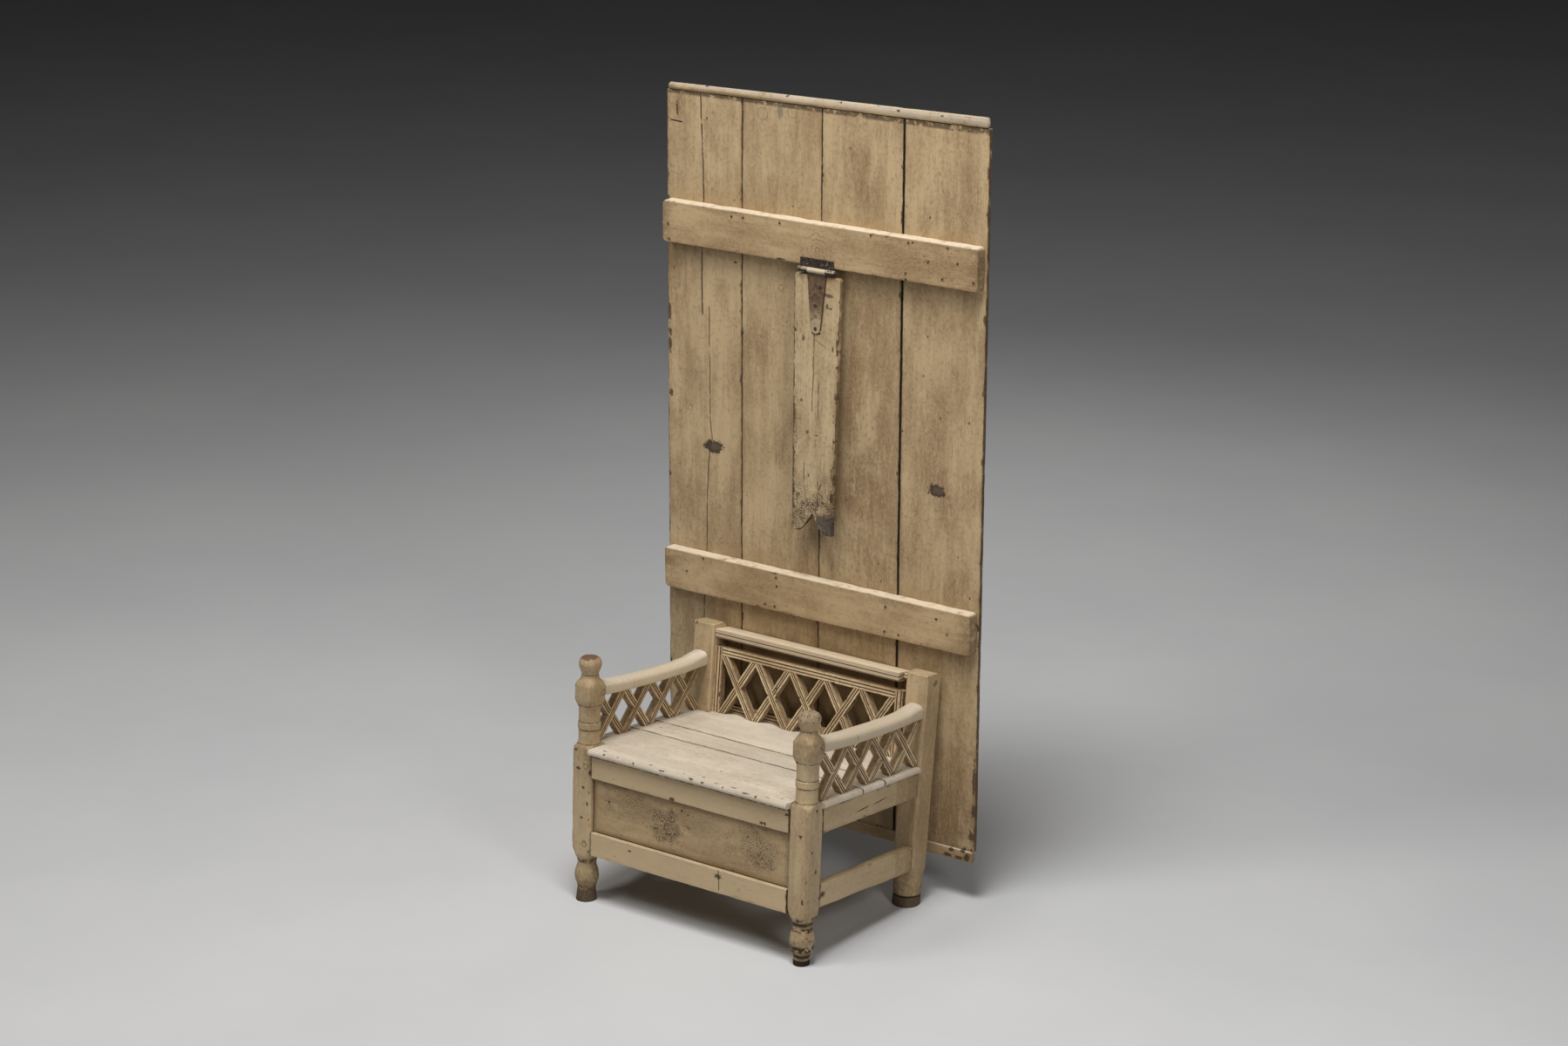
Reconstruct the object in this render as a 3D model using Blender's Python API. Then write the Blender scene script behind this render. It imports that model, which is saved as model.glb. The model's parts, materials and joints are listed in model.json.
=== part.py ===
"""Painted table settle: an armed seat with lattice back and sides, a four-board top on a pivot rail, and a prop leg.

Metres, +Z up. The seat faces -Y. The seat frame is drawn in its own upright frame (u right, v back, n up) and
leant into place by frame_point. The top is drawn plumb by top_point, with y measured forwards from its boards.
"""

import math

import bmesh
import bpy
from mathutils import Matrix, Vector

# fit
GAP = 0.0003
PIN_PLAY = 0.0005
EASE = 0.002

# seat frame: width and depth over the posts, and the way it leans
FRAME_WIDTH = 0.820
FRAME_DEPTH = 0.579
RECLINE = 0.0965
LEAN_FRONT = 0.041
LEAN_RATE = 0.1225

# posts
FRONT_POST = 0.068
POST_CHAMFER = 0.007
FRONT_FOOT_HEIGHT = 0.142
REAR_POST_WIDTH = 0.0735
REAR_POST_DEPTH = 0.072
REAR_CHAMFER = 0.004
REAR_FOOT_HEIGHT = 0.090
REAR_FOOT_SHOULDER = 0.018
BACK_RISE = 0.262
HEAD_RADIUS = 0.0287
PIVOT_PIN_RADIUS = 0.0095

# seat and rails
SEAT_TOP = 0.466
SEAT_BOARD = 0.018
SEAT_NOSING = 0.014
SEAT_FRONT_WIDTH = 0.2535
SEAT_MIDDLE_WIDTH = 0.1005
SEAT_SEAM = 0.0016
SEAT_END_OVERHANG = 0.003
SEAT_ROUND = 0.0072
SEAT_RAIL = 0.0705
FRONT_RAIL_THICKNESS = 0.034
FRONT_RAIL_SETBACK = 0.003
BOTTOM_RAIL_DROP = 0.0045
BOTTOM_RAIL = 0.070
PANEL_SETBACK = 0.016
PANEL_THICKNESS = 0.011
SIDE_RAIL_THICKNESS = 0.034
SIDE_RAIL_SETBACK = 0.003
STRETCHER_LOW = 0.1590
STRETCHER = 0.0745
STRETCHER_EASE = 0.004
REAR_RAIL = 0.060
REAR_RAIL_SETBACK = 0.041
REAR_RAIL_BEARING = 0.020

# arms: how far along, how far the underside and the top lie above the arm's lowest point
ARM_RISE = 0.132
ARM_WIDTH = 0.058
ARM_INSET = 0.004
ARM_CROWN = 0.005
ARM_STATIONS = ((0.00, 0.009, 0.043), (0.14, 0.005, 0.036), (0.30, 0.002, 0.032), (0.55, 0.000, 0.029),
                (0.74, 0.001, 0.029), (0.86, 0.003, 0.032), (0.94, 0.005, 0.039), (1.00, 0.006, 0.043))

# lattices
SLAT_WIDTH = 0.021
SLAT_PLAY = 0.0003
REED_EDGE = 0.0063
REED_WIDTH = 0.0022
REED_DEPTH = 0.0016
SIDE_SLAT = 0.024
SIDE_LATTICE_INSET = 0.013
SIDE_LATTICE_START = 0.001
SIDE_CROSSES = 4
SIDE_SPAN = 0.105
BACK_LATTICE_SETBACK = 0.018
BACK_SLAT = 0.020
BACK_CROSSES = 5
BACK_SPAN = 0.107
LATTICE_RISE = 0.196
LATTICE_TOP_RAIL = 0.024
STILE_LEFT = 0.0252
STILE_RIGHT = 0.0277
STILE_GAP = 0.0138
LATTICE_FOOT_RAIL = 0.024
LATTICE_FOOT_DEPTH = 0.015

# table top
BOARD_WIDTHS = (0.2650, 0.2735, 0.2710, 0.2745)
BOARD_GAPS = (0.0014, 0.0014, 0.0030)
BOARD_THICKNESS = 0.014
BOARD_EASE = 0.002
TOP_LOW = 0.118
TOP_LENGTH = 2.1155
TOP_CLEAT = 0.0195
BOTTOM_CLEAT = 0.036
BOARD_RISE = 0.007
CLEAT_RISE = 0.011
CLEAT_DEPTH = 0.020
CLEAT_PROUD = 0.005
CLEAT_INSET = 0.003
CLEAT_CORNER = 0.0095
CLEAT_ROUND = 0.007
BATTEN_HEIGHT = 0.123
BATTEN_THICKNESS = 0.036
BATTEN_INSET = 0.007
BATTEN_CORNER = 0.012
BATTEN_ROUND = 0.006
UPPER_BATTEN_DROP = 0.3305
LOWER_BATTEN_RISE = 0.099

# pivot rail
HEAD_CLEARANCE = 0.0046
PIVOT_RAIL_LEFT_PLAY = 0.001
PIVOT_RAIL_RIGHT_PLAY = 0.029
PIVOT_RAIL_HEIGHT = 0.026
PIVOT_RAIL_REACH = 0.0345
PIVOT_RAIL_RISE = 0.012
PIN_RECESS = 0.010

# prop leg and its T hinge; the leg hangs from the hinge by its own weight
LEG_OFFSET = 0.009
LEG_TOP_WIDTH = 0.157
LEG_FOOT_WIDTH = 0.137
LEG_LENGTH = 0.742
LEG_THICKNESS = 0.017
LEG_DROP = 0.0135
LEG_NOTCH = 0.056
LEG_CORNER = 0.007
HINGE_BELOW_BATTEN = 0.010
HINGE_PLATE = 0.003
HINGE_LEAF_WIDTH = 0.112
HINGE_LEAF_HEIGHT = 0.033
BARREL_RADIUS = 0.0072
BARREL_LENGTH = 0.121
HINGE_PIN_RADIUS = 0.0032
HINGE_PIN_END = 0.002
STRAP_WIDTH = 0.060
STRAP_SHOULDER = 0.022
STRAP_LENGTH = 0.178
STRAP_END_RADIUS = 0.0145
KNUCKLE_GAP = 0.0006

# turned feet of the front posts: share of the foot's height, radius; None stands on the floor
FOOT_LEFT = ((None, 0.0300), (0.085, 0.0293), (0.211, 0.0275), (0.296, 0.0270), (0.366, 0.0300), (0.451, 0.0338),
             (0.542, 0.0350), (0.634, 0.0338), (0.718, 0.0300), (0.789, 0.0272), (0.852, 0.0276), (0.915, 0.0310))
FOOT_RIGHT = ((None, 0.0228), (0.102, 0.0236), (0.113, 0.0226), (0.183, 0.0236), (0.296, 0.0290), (0.408, 0.0338),
              (0.521, 0.0356), (0.634, 0.0344), (0.718, 0.0304), (0.789, 0.0272), (0.852, 0.0276), (0.915, 0.0310))
# square shaft above the foot, and below the seat's top: height from there, chamfer
SHAFT_START = ((0.000, 0.016), (0.014, 0.009), (0.028, POST_CHAMFER))
SHAFT_END = ((-0.018, POST_CHAMFER), (-0.006, 0.010))
# turned column: height above the seat's top, radius; its last ring lies below the arm
COLUMN = ((0.003, 0.0336), (0.009, 0.0308), (0.046, 0.0300), (0.048, 0.0322), (0.065, 0.0322), (0.067, 0.0302))
COLUMN_END = ((-0.026, 0.0302),)
# square block that takes the arm: height above the arm's lowest point, how much smaller than the post, chamfer
BLOCK = ((-0.018, 0.004, 0.014), (-0.006, 0.001, 0.012), (0.002, 0.000, 0.010), (0.042, 0.000, 0.010),
         (0.052, 0.003, 0.012))
# neck and flattened ball of the finial: height above the arm's lowest point, radius
FINIAL = ((0.0620, 0.0265), (0.0710, 0.0240), (0.0780, 0.0240), (0.0860, 0.0276), (0.0950, 0.0308), (0.1040, 0.0322),
          (0.1130, 0.0312), (0.1205, 0.0272), (0.1255, 0.0205), (0.1276, 0.0120))
# rear feet: share of the foot's height, radius
REAR_FOOT = ((None, 0.0395), (0.278, 0.0400), (0.300, 0.0375), (0.333, 0.0378), (0.356, 0.0406), (0.622, 0.0412),
             (0.867, 0.0405))

CREAM = (0.62, 0.51, 0.34)
SEAT_CREAM = (0.66, 0.57, 0.42)
PANEL_CREAM = (0.50, 0.39, 0.24)
LATTICE_CREAM = (0.58, 0.45, 0.26)
IRON = (0.085, 0.060, 0.045)
RUST = (0.20, 0.115, 0.065)

HALF_WIDTH = FRAME_WIDTH / 2
FRONT_INNER = HALF_WIDTH - FRONT_POST
REAR_INNER = HALF_WIDTH - REAR_POST_WIDTH
REAR_FRONT = FRAME_DEPTH - REAR_POST_DEPTH
REAR_POST_TOP = SEAT_TOP + BACK_RISE
SEAT_UNDER = SEAT_TOP - SEAT_BOARD
RAIL_TOP = SEAT_UNDER - GAP
RAIL_LOW = RAIL_TOP - SEAT_RAIL
BOTTOM_RAIL_LOW = FRONT_FOOT_HEIGHT + BOTTOM_RAIL_DROP
REAR_RAIL_FRONT = REAR_FRONT + REAR_RAIL_SETBACK
ARM_UNDER = SEAT_TOP + ARM_RISE
ARM_START = FRONT_POST + GAP
ARM_END = REAR_FRONT - GAP
PIVOT_TO_BOARDS = HEAD_RADIUS + HEAD_CLEARANCE
TOP_SHIFT = (PIVOT_RAIL_LEFT_PLAY - PIVOT_RAIL_RIGHT_PLAY) / 2
TOP_WIDTH = sum(BOARD_WIDTHS)
TOP_HIGH = TOP_LOW + TOP_LENGTH
UPPER_BATTEN_LOW = TOP_HIGH - UPPER_BATTEN_DROP - BATTEN_HEIGHT
LEG_FACE = -HINGE_PLATE / 2 - GAP
LEG_HANG = math.atan2(LEG_THICKNESS / 2 - LEG_FACE, LEG_DROP + LEG_LENGTH / 2)

for thing in list(bpy.data.objects):
    bpy.data.objects.remove(thing, do_unlink=True)

made = []


def frame_point(u, v, n):
    """A point of the seat frame, leant back and reclined onto its shortened rear feet."""
    return Vector((u, v + n * (LEAN_FRONT + LEAN_RATE * v), n - RECLINE * v))


def floor_height(v):
    """The height n at which the floor lies under a depth v."""
    return RECLINE * v


PIVOT = frame_point(TOP_SHIFT, FRAME_DEPTH - HEAD_RADIUS, REAR_POST_TOP - HEAD_RADIUS)
BOARD_FACE = PIVOT.y + PIVOT_TO_BOARDS
LOWER_BATTEN_LOW = PIVOT.z + LOWER_BATTEN_RISE
HINGE = Vector((TOP_SHIFT + LEG_OFFSET, BOARD_FACE - BATTEN_THICKNESS + LEG_FACE,
                UPPER_BATTEN_LOW - HINGE_BELOW_BATTEN))


def top_point(x, y, z):
    """A point of the table top: x from its middle, y forwards from the boards' face, z from the floor."""
    return Vector((x + TOP_SHIFT, BOARD_FACE - y, z))


def leg_point(x, y, z):
    """A point of the hanging leg: x, y forwards and z up from the hinge axis, turned to where the leg hangs."""
    return HINGE + Matrix.Rotation(-LEG_HANG, 3, 'X') @ Vector((x, -y, z))


def along_u(p, q, t):
    return frame_point(t, p, q)


def along_v(p, q, t):
    return frame_point(p, t, q)


def along_n(p, q, t):
    return frame_point(p, q, t)


def on_top(p, q, t):
    return top_point(p, t, q)


def on_leg(p, q, t):
    return leg_point(p, t, q)


def material(name, colour, roughness, metallic):
    finish_of = bpy.data.materials.new(name)
    finish_of.use_nodes = True
    shader = finish_of.node_tree.nodes['Principled BSDF']
    shader.inputs['Base Color'].default_value = (*colour, 1.0)
    shader.inputs['Roughness'].default_value = roughness
    shader.inputs['Metallic'].default_value = metallic
    finish_of.diffuse_color = (*colour, 1.0)
    return finish_of


def piece(name, bm, colour=CREAM, roughness=0.55, metallic=0.0, origin=None, smooth=False, helper=False):
    """Turns a closed bmesh in world space into an object whose origin is the given point."""
    bmesh.ops.remove_doubles(bm, verts=bm.verts[:], dist=1e-6)
    bmesh.ops.recalc_face_normals(bm, faces=bm.faces[:])
    at = Vector((0, 0, 0)) if origin is None else origin
    bmesh.ops.translate(bm, verts=bm.verts[:], vec=-at)
    for face in bm.faces:
        face.smooth = smooth
    mesh = bpy.data.meshes.new(name)
    bm.to_mesh(mesh)
    bm.free()
    if smooth:
        mesh.set_sharp_from_angle(angle=math.radians(35))
    obj = bpy.data.objects.new(name, mesh)
    obj.location = at
    bpy.context.scene.collection.objects.link(obj)
    if helper:
        obj.hide_render = True
        obj.display_type = 'WIRE'
    else:
        mesh.materials.append(material(name + '_finish', colour, roughness, metallic))
    made.append(obj)
    return obj


def boolean(obj, other, operation):
    modifier = obj.modifiers.new(other.name, 'BOOLEAN')
    modifier.object = other
    modifier.operation = operation
    modifier.solver = 'EXACT'


def loft(rings):
    """A closed skin over rings of equally many points."""
    bm = bmesh.new()
    rows = [[bm.verts.new(point) for point in ring] for ring in rings]
    count = len(rows[0])
    for low, high in zip(rows, rows[1:]):
        for i in range(count):
            j = (i + 1) % count
            bm.faces.new((low[i], low[j], high[j], high[i]))
    bm.faces.new(rows[0][::-1])
    bm.faces.new(rows[-1])
    return bm


def inset(outline, amounts):
    """The counter-clockwise outline with each edge moved inwards by its own amount."""
    count = len(outline)
    lines = []
    for i in range(count):
        (ax, ay), (bx, by) = outline[i], outline[(i + 1) % count]
        length = math.hypot(bx - ax, by - ay)
        dx, dy = (bx - ax) / length, (by - ay) / length
        lines.append((ax - dy * amounts[i], ay + dx * amounts[i], dx, dy))
    points = []
    for i in range(count):
        px, py, pdx, pdy = lines[i - 1]
        qx, qy, qdx, qdy = lines[i]
        cross = pdx * qdy - pdy * qdx
        along = ((qx - px) * qdy - (qy - py) * qdx) / cross
        points.append((px + pdx * along, py + pdy * along))
    return points


def prism(outline, levels, place, weights=None):
    """Stacks an outline at levels of (height, inset); weights say how much of the inset each edge takes."""
    shares = weights or [1.0] * len(outline)
    rings = []
    for height, amount in levels:
        ring = inset(outline, [amount * share for share in shares])
        rings.append([place(p, q, height) for p, q in ring])
    return loft(rings)


def bar(section, start, end, place):
    return loft([[place(p, q, t) for p, q in section] for t in (start, end)])


def round_over(low, high, radius):
    """Levels of a prism whose rims are rounded at both ends."""
    turns = [math.radians(a) for a in (0, 40, 90)]
    foot = [(low + radius * (1 - math.cos(a)), radius * (1 - math.sin(a))) for a in turns]
    head = [(high - radius * (1 - math.cos(a)), radius * (1 - math.sin(a))) for a in reversed(turns)]
    return foot + head


def eased(p0, p1, q0, q1, ease=EASE):
    """A rectangle with its corners cut."""
    return [(p0 + ease, q0), (p1 - ease, q0), (p1, q0 + ease), (p1, q1 - ease),
            (p1 - ease, q1), (p0 + ease, q1), (p0, q1 - ease), (p0, q0 + ease)]


def rounded_corners(x0, x1, z0, z1, radius, steps=3):
    """A rectangle with quarter-round corners, counter-clockwise."""
    corners = ((x1 - radius, z0 + radius, -90), (x1 - radius, z1 - radius, 0),
               (x0 + radius, z1 - radius, 90), (x0 + radius, z0 + radius, 180))
    points = []
    for cx, cz, start in corners:
        for step in range(steps + 1):
            angle = math.radians(start + 90 * step / steps)
            points.append((cx + radius * math.cos(angle), cz + radius * math.sin(angle)))
    return points


def reeded_face(width):
    """Outline of a moulded face: (w across, t deep), with a groove near each edge."""
    half, groove = width / 2, REED_WIDTH / 2
    face = [(-half, 0.0)]
    for centre in (REED_EDGE - half, half - REED_EDGE):
        face += [(centre - groove, 0.0), (centre, REED_DEPTH), (centre + groove, 0.0)]
    face.append((half, 0.0))
    return face


def reeded(width, thickness, both=False):
    """Section of a stick that is moulded on its face, or on its face and its back."""
    face = reeded_face(width)
    back = [(-w, thickness - t) for w, t in face] if both else [(width / 2, thickness), (-width / 2, thickness)]
    return face + back


def cylinder(radius, start, end, centre, sides=24):
    """A cylinder along X about a point."""
    turns = [math.tau * i / sides for i in range(sides)]
    rings = []
    for x in (start, end):
        rings.append([Vector((x, centre.y + radius * math.cos(a), centre.z + radius * math.sin(a))) for a in turns])
    return loft(rings)


def post_angles():
    """Angles round a post, with points on the corners of its chamfered square."""
    corner = math.degrees(math.atan2(FRONT_POST / 2 - POST_CHAMFER, FRONT_POST / 2))
    quarter = (0, 14, 27, corner, 90 - corner, 63, 76)
    return [math.radians(90 * turn + angle) for turn in range(4) for angle in quarter]


def square_radius(angle, half, chamfer):
    """Distance from the middle of a chamfered square to its side, at an angle."""
    c, s = abs(math.cos(angle)), abs(math.sin(angle))
    return min((2 * half - chamfer) / (c + s), half / max(c, 1e-9), half / max(s, 1e-9))


def turned_ring(centre_u, centre_v, n, radius_at):
    """A ring of a post; n of None lies on the floor."""
    ring = []
    for a in post_angles():
        u, v = centre_u + radius_at(a) * math.cos(a), centre_v + radius_at(a) * math.sin(a)
        ring.append(frame_point(u, v, floor_height(v) if n is None else n))
    return ring


def front_post(name, side, foot):
    """Turned foot, square shaft, ringed column, square block and ball finial, from one piece of wood."""
    half = FRONT_POST / 2
    rounds = [(None if share is None else share * FRONT_FOOT_HEIGHT, r) for share, r in foot]
    squares = [(FRONT_FOOT_HEIGHT + rise, half, chamfer) for rise, chamfer in SHAFT_START]
    squares += [(SEAT_TOP + rise, half, chamfer) for rise, chamfer in SHAFT_END]
    column = [(SEAT_TOP + rise, r) for rise, r in COLUMN] + [(ARM_UNDER + rise, r) for rise, r in COLUMN_END]
    block = [(ARM_UNDER + rise, half - less, chamfer) for rise, less, chamfer in BLOCK]
    finial = [(ARM_UNDER + rise, r) for rise, r in FINIAL]
    rings = []
    for kind in (rounds, squares, column, block, finial):
        for n, size, *chamfer in kind:
            shape = (lambda a: square_radius(a, size, chamfer[0])) if chamfer else (lambda a: size)
            rings.append(turned_ring(side * (HALF_WIDTH - half), half, n, shape))
    piece(name, loft(rings), smooth=True)


def rear_post(name, side):
    """Turned foot, square shaft and a head rounded about the pivot, bored for the pivot rail's end."""
    centre_u, centre_v = side * (HALF_WIDTH - REAR_POST_WIDTH / 2), FRAME_DEPTH - REAR_POST_DEPTH / 2
    base = floor_height(centre_v)
    rings = []
    for share, radius in REAR_FOOT:
        n = None if share is None else base + share * REAR_FOOT_HEIGHT
        rings.append(turned_ring(centre_u, centre_v, n, lambda a: radius))

    def square(n, v_front, v_back, trim, chamfer):
        half_u, half_v, mid = REAR_POST_WIDTH / 2 - trim, (v_back - v_front) / 2, (v_back + v_front) / 2
        ring = []
        for a in post_angles():
            r = square_radius(a, 1.0, chamfer / half_u)
            ring.append(frame_point(centre_u + half_u * r * math.cos(a), mid + half_v * r * math.sin(a), n))
        rings.append(ring)

    shaft = base + REAR_FOOT_HEIGHT
    square(shaft, REAR_FRONT, FRAME_DEPTH, 0.0, REAR_FOOT_SHOULDER)
    square(shaft + REAR_FOOT_SHOULDER, REAR_FRONT, FRAME_DEPTH, 0.0, REAR_CHAMFER)
    head_n, head_v = REAR_POST_TOP - HEAD_RADIUS, FRAME_DEPTH - HEAD_RADIUS
    for degrees in (0, 22.5, 45, 67.5):
        a = math.radians(degrees)
        square(head_n + HEAD_RADIUS * math.sin(a), REAR_FRONT, head_v + HEAD_RADIUS * math.cos(a), 0.0, REAR_CHAMFER)
    square(REAR_POST_TOP, REAR_FRONT + EASE, head_v, EASE, REAR_CHAMFER)
    post = piece(name, loft(rings), smooth=True)
    start, end = sorted((side * (HALF_WIDTH + EASE), side * (REAR_INNER - EASE)))
    hole = cylinder(PIVOT_PIN_RADIUS + PIN_PLAY, start, end, PIVOT)
    boolean(post, piece(name + '_hole', hole, helper=True), 'DIFFERENCE')


def rails():
    front_end, rear_end = FRONT_INNER - GAP, REAR_INNER - GAP
    front, back = FRONT_RAIL_SETBACK, FRONT_RAIL_SETBACK + FRONT_RAIL_THICKNESS
    bottom_top = BOTTOM_RAIL_LOW + BOTTOM_RAIL
    piece('front_seat_rail', bar(eased(front, back, RAIL_LOW, RAIL_TOP), -front_end, front_end, along_u))
    piece('front_bottom_rail', bar(eased(front, back, BOTTOM_RAIL_LOW, bottom_top), -front_end, front_end, along_u))
    panel_back = PANEL_SETBACK + PANEL_THICKNESS
    panel = eased(PANEL_SETBACK, panel_back, bottom_top + GAP, RAIL_LOW - GAP, EASE / 2)
    piece('front_panel', bar(panel, -front_end, front_end, along_u), colour=PANEL_CREAM, roughness=0.65)
    outer = HALF_WIDTH - SIDE_RAIL_SETBACK
    for word, side in (('left', -1), ('right', 1)):
        low_u, high_u = sorted((side * (outer - SIDE_RAIL_THICKNESS), side * outer))
        section = eased(low_u, high_u, RAIL_LOW, RAIL_TOP)
        piece('side_seat_rail_' + word, bar(section, ARM_START, ARM_END, along_v))
        section = eased(low_u, high_u, STRETCHER_LOW, STRETCHER_LOW + STRETCHER, STRETCHER_EASE)
        piece('side_stretcher_' + word, bar(section, ARM_START, ARM_END, along_v))
    # the rear rail's back is plumb, because the boards of the top bear on it when the top is upright
    low, high = frame_point(0, REAR_RAIL_FRONT, RAIL_TOP - REAR_RAIL), frame_point(0, REAR_RAIL_FRONT, RAIL_TOP)
    rest = BOARD_FACE - GAP
    corners = [(low.y, low.z), (rest, low.z - RECLINE * (rest - low.y)),
               (rest, high.z - RECLINE * (rest - high.y)), (high.y, high.z)]
    piece('rear_seat_rail', bar(corners, -rear_end, rear_end, lambda y, z, x: Vector((x, y, z))))


def seat_board(name, outline, weights):
    """A board of the seat; its outer edges are half-round and its joints stay nearly square."""
    bm = prism(outline, round_over(SEAT_UNDER, SEAT_TOP, SEAT_ROUND), along_n, weights)
    piece(name, bm, colour=SEAT_CREAM, roughness=0.6, smooth=True)


def seat_boards():
    end = HALF_WIDTH + SEAT_END_OVERHANG
    front_u, rear_u = FRONT_INNER - GAP, REAR_INNER - GAP
    first = SEAT_FRONT_WIDTH - SEAT_NOSING
    second = first + SEAT_MIDDLE_WIDTH
    back = REAR_RAIL_FRONT + REAR_RAIL_BEARING
    joint, half = 0.08, SEAT_SEAM / 2
    front = [(-front_u, -SEAT_NOSING), (front_u, -SEAT_NOSING), (front_u, ARM_START), (end, ARM_START),
             (end, first - half), (-end, first - half), (-end, ARM_START), (-front_u, ARM_START)]
    seat_board('seat_board_front', front, [1, 0, 0, 1, joint, 1, 0, 0])
    middle = [(-end, first + half), (end, first + half), (end, second - half), (-end, second - half)]
    seat_board('seat_board_middle', middle, [joint, 1, joint, 1])
    rear = [(-end, second + half), (end, second + half), (end, ARM_END), (rear_u, ARM_END),
            (rear_u, back), (-rear_u, back), (-rear_u, ARM_END), (-end, ARM_END)]
    seat_board('seat_board_rear', rear, [joint, 1, 0, 0, 0, 0, 0, 1])


def arm(name, side):
    """A sagging arm with a crowned top, let in between the front post's block and the rear post."""
    half, middle = ARM_WIDTH / 2, side * (HALF_WIDTH - ARM_INSET - ARM_WIDTH / 2)
    rings = []
    for share, under, top in ARM_STATIONS:
        v, low, high = ARM_START + (ARM_END - ARM_START) * share, ARM_UNDER + under, ARM_UNDER + top
        right = [(half - 0.003, low), (half, low + 0.004), (half, high - 0.010), (half - 0.004, high - 0.003),
                 (half - 0.012, high + ARM_CROWN / 2)]
        left = [(-p, q) for p, q in reversed(right)]
        section = right + [(0.0, high + ARM_CROWN)] + left
        rings.append([frame_point(middle + p, v, q) for p, q in section])
    piece(name, loft(rings), colour=SEAT_CREAM, roughness=0.5, smooth=True)


def arm_underside(v):
    """Height of the arm's underside at a depth."""
    share = min(max((v - ARM_START) / (ARM_END - ARM_START), 0.0), 1.0)
    for (s0, low0, _), (s1, low1, _) in zip(ARM_STATIONS, ARM_STATIONS[1:]):
        if share <= s1:
            break
    return ARM_UNDER + low0 + (low1 - low0) * (share - s0) / (s1 - s0)


def trim(bm, planes):
    """Cuts a closed mesh by planes, dropping the side that each normal points to."""
    for point, normal in planes:
        everything = bm.verts[:] + bm.edges[:] + bm.faces[:]
        cut = bmesh.ops.bisect_plane(bm, geom=everything, plane_co=point, plane_no=normal, clear_outer=True)
        edges = [item for item in cut['geom_cut'] if isinstance(item, bmesh.types.BMEdge)]
        if edges:
            bmesh.ops.edgeloop_fill(bm, edges=edges)


def slat(name, cell, rising, over, thickness, span, place, both):
    """One of the two sticks of a cross, half-lapped into the other and mitred where it meets the next cross.

    cell is (low edge, high edge, foot, head) in the lattice plane; place takes (along, height, depth from the face).
    """
    low, high, foot, head = cell
    middle = Vector(((low + high) / 2, (foot + head) / 2))
    slope = Vector((span if rising else -span, head - foot)).normalized()

    def stick(direction, section, reach):
        across = Vector((direction.y, -direction.x))
        rings = []
        for length in (-reach, reach):
            points = [(middle + direction * length + across * w, t) for w, t in section]
            rings.append([(point.x, point.y, t) for point, t in points])
        return loft(rings)

    bm = stick(slope, reeded(SLAT_WIDTH, thickness, both), 2 * (head - foot))
    trim(bm, (((low, 0, 0), (-1, 0, 0)), ((high, 0, 0), (1, 0, 0)),
              ((0, foot, 0), (0, -1, 0)), ((0, head, 0), (0, 1, 0))))
    half, beyond = SLAT_WIDTH / 2 + SLAT_PLAY, thickness / 4
    near, far = (thickness - SLAT_PLAY) / 2, thickness + beyond
    if not over:
        near, far = -beyond, (thickness + SLAT_PLAY) / 2
    lap = stick(Vector((-slope.x, slope.y)), [(-half, near), (half, near), (half, far), (-half, far)], 2 * SLAT_WIDTH)
    for mesh in (bm, lap):
        for vert in mesh.verts:
            vert.co = place(*vert.co)
    obj = piece(name, bm, colour=LATTICE_CREAM, roughness=0.6)
    boolean(obj, piece(name + '_lap', lap, helper=True), 'DIFFERENCE')


def crosses(word, edges, heads, rising_over, thickness, span, place, both):
    """A row of crosses standing on the seat, between neighbouring edges and under the heads."""
    for k, (low, high) in enumerate(zip(edges, edges[1:])):
        cell = (low + GAP / 2, high - GAP / 2, SEAT_TOP + GAP, heads[k] - GAP)
        for kind, rising in (('rising', True), ('falling', False)):
            over = rising_over[k] == rising
            slat(f'{word}_slat_{kind}_{k + 1}', cell, rising, over, thickness, span, place, both)


def side_lattice(word, side, step, rising_over):
    """Crosses between seat and arm; step is the way from the face that the crossings are seen on."""
    outer = HALF_WIDTH - SIDE_LATTICE_INSET
    face = side * outer if step == -side else side * (outer - SIDE_SLAT)
    start = ARM_START + SIDE_LATTICE_START
    pitch = (ARM_END - start) / SIDE_CROSSES
    edges = [start + pitch * k for k in range(SIDE_CROSSES + 1)]
    heads = []
    for low, high in zip(edges, edges[1:]):
        heads.append(min(arm_underside(low), arm_underside((low + high) / 2), arm_underside(high)))
    crosses(word, edges, heads, rising_over, SIDE_SLAT, SIDE_SPAN,
            lambda a, n, t: frame_point(face + step * t, a, n), True)


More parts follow.
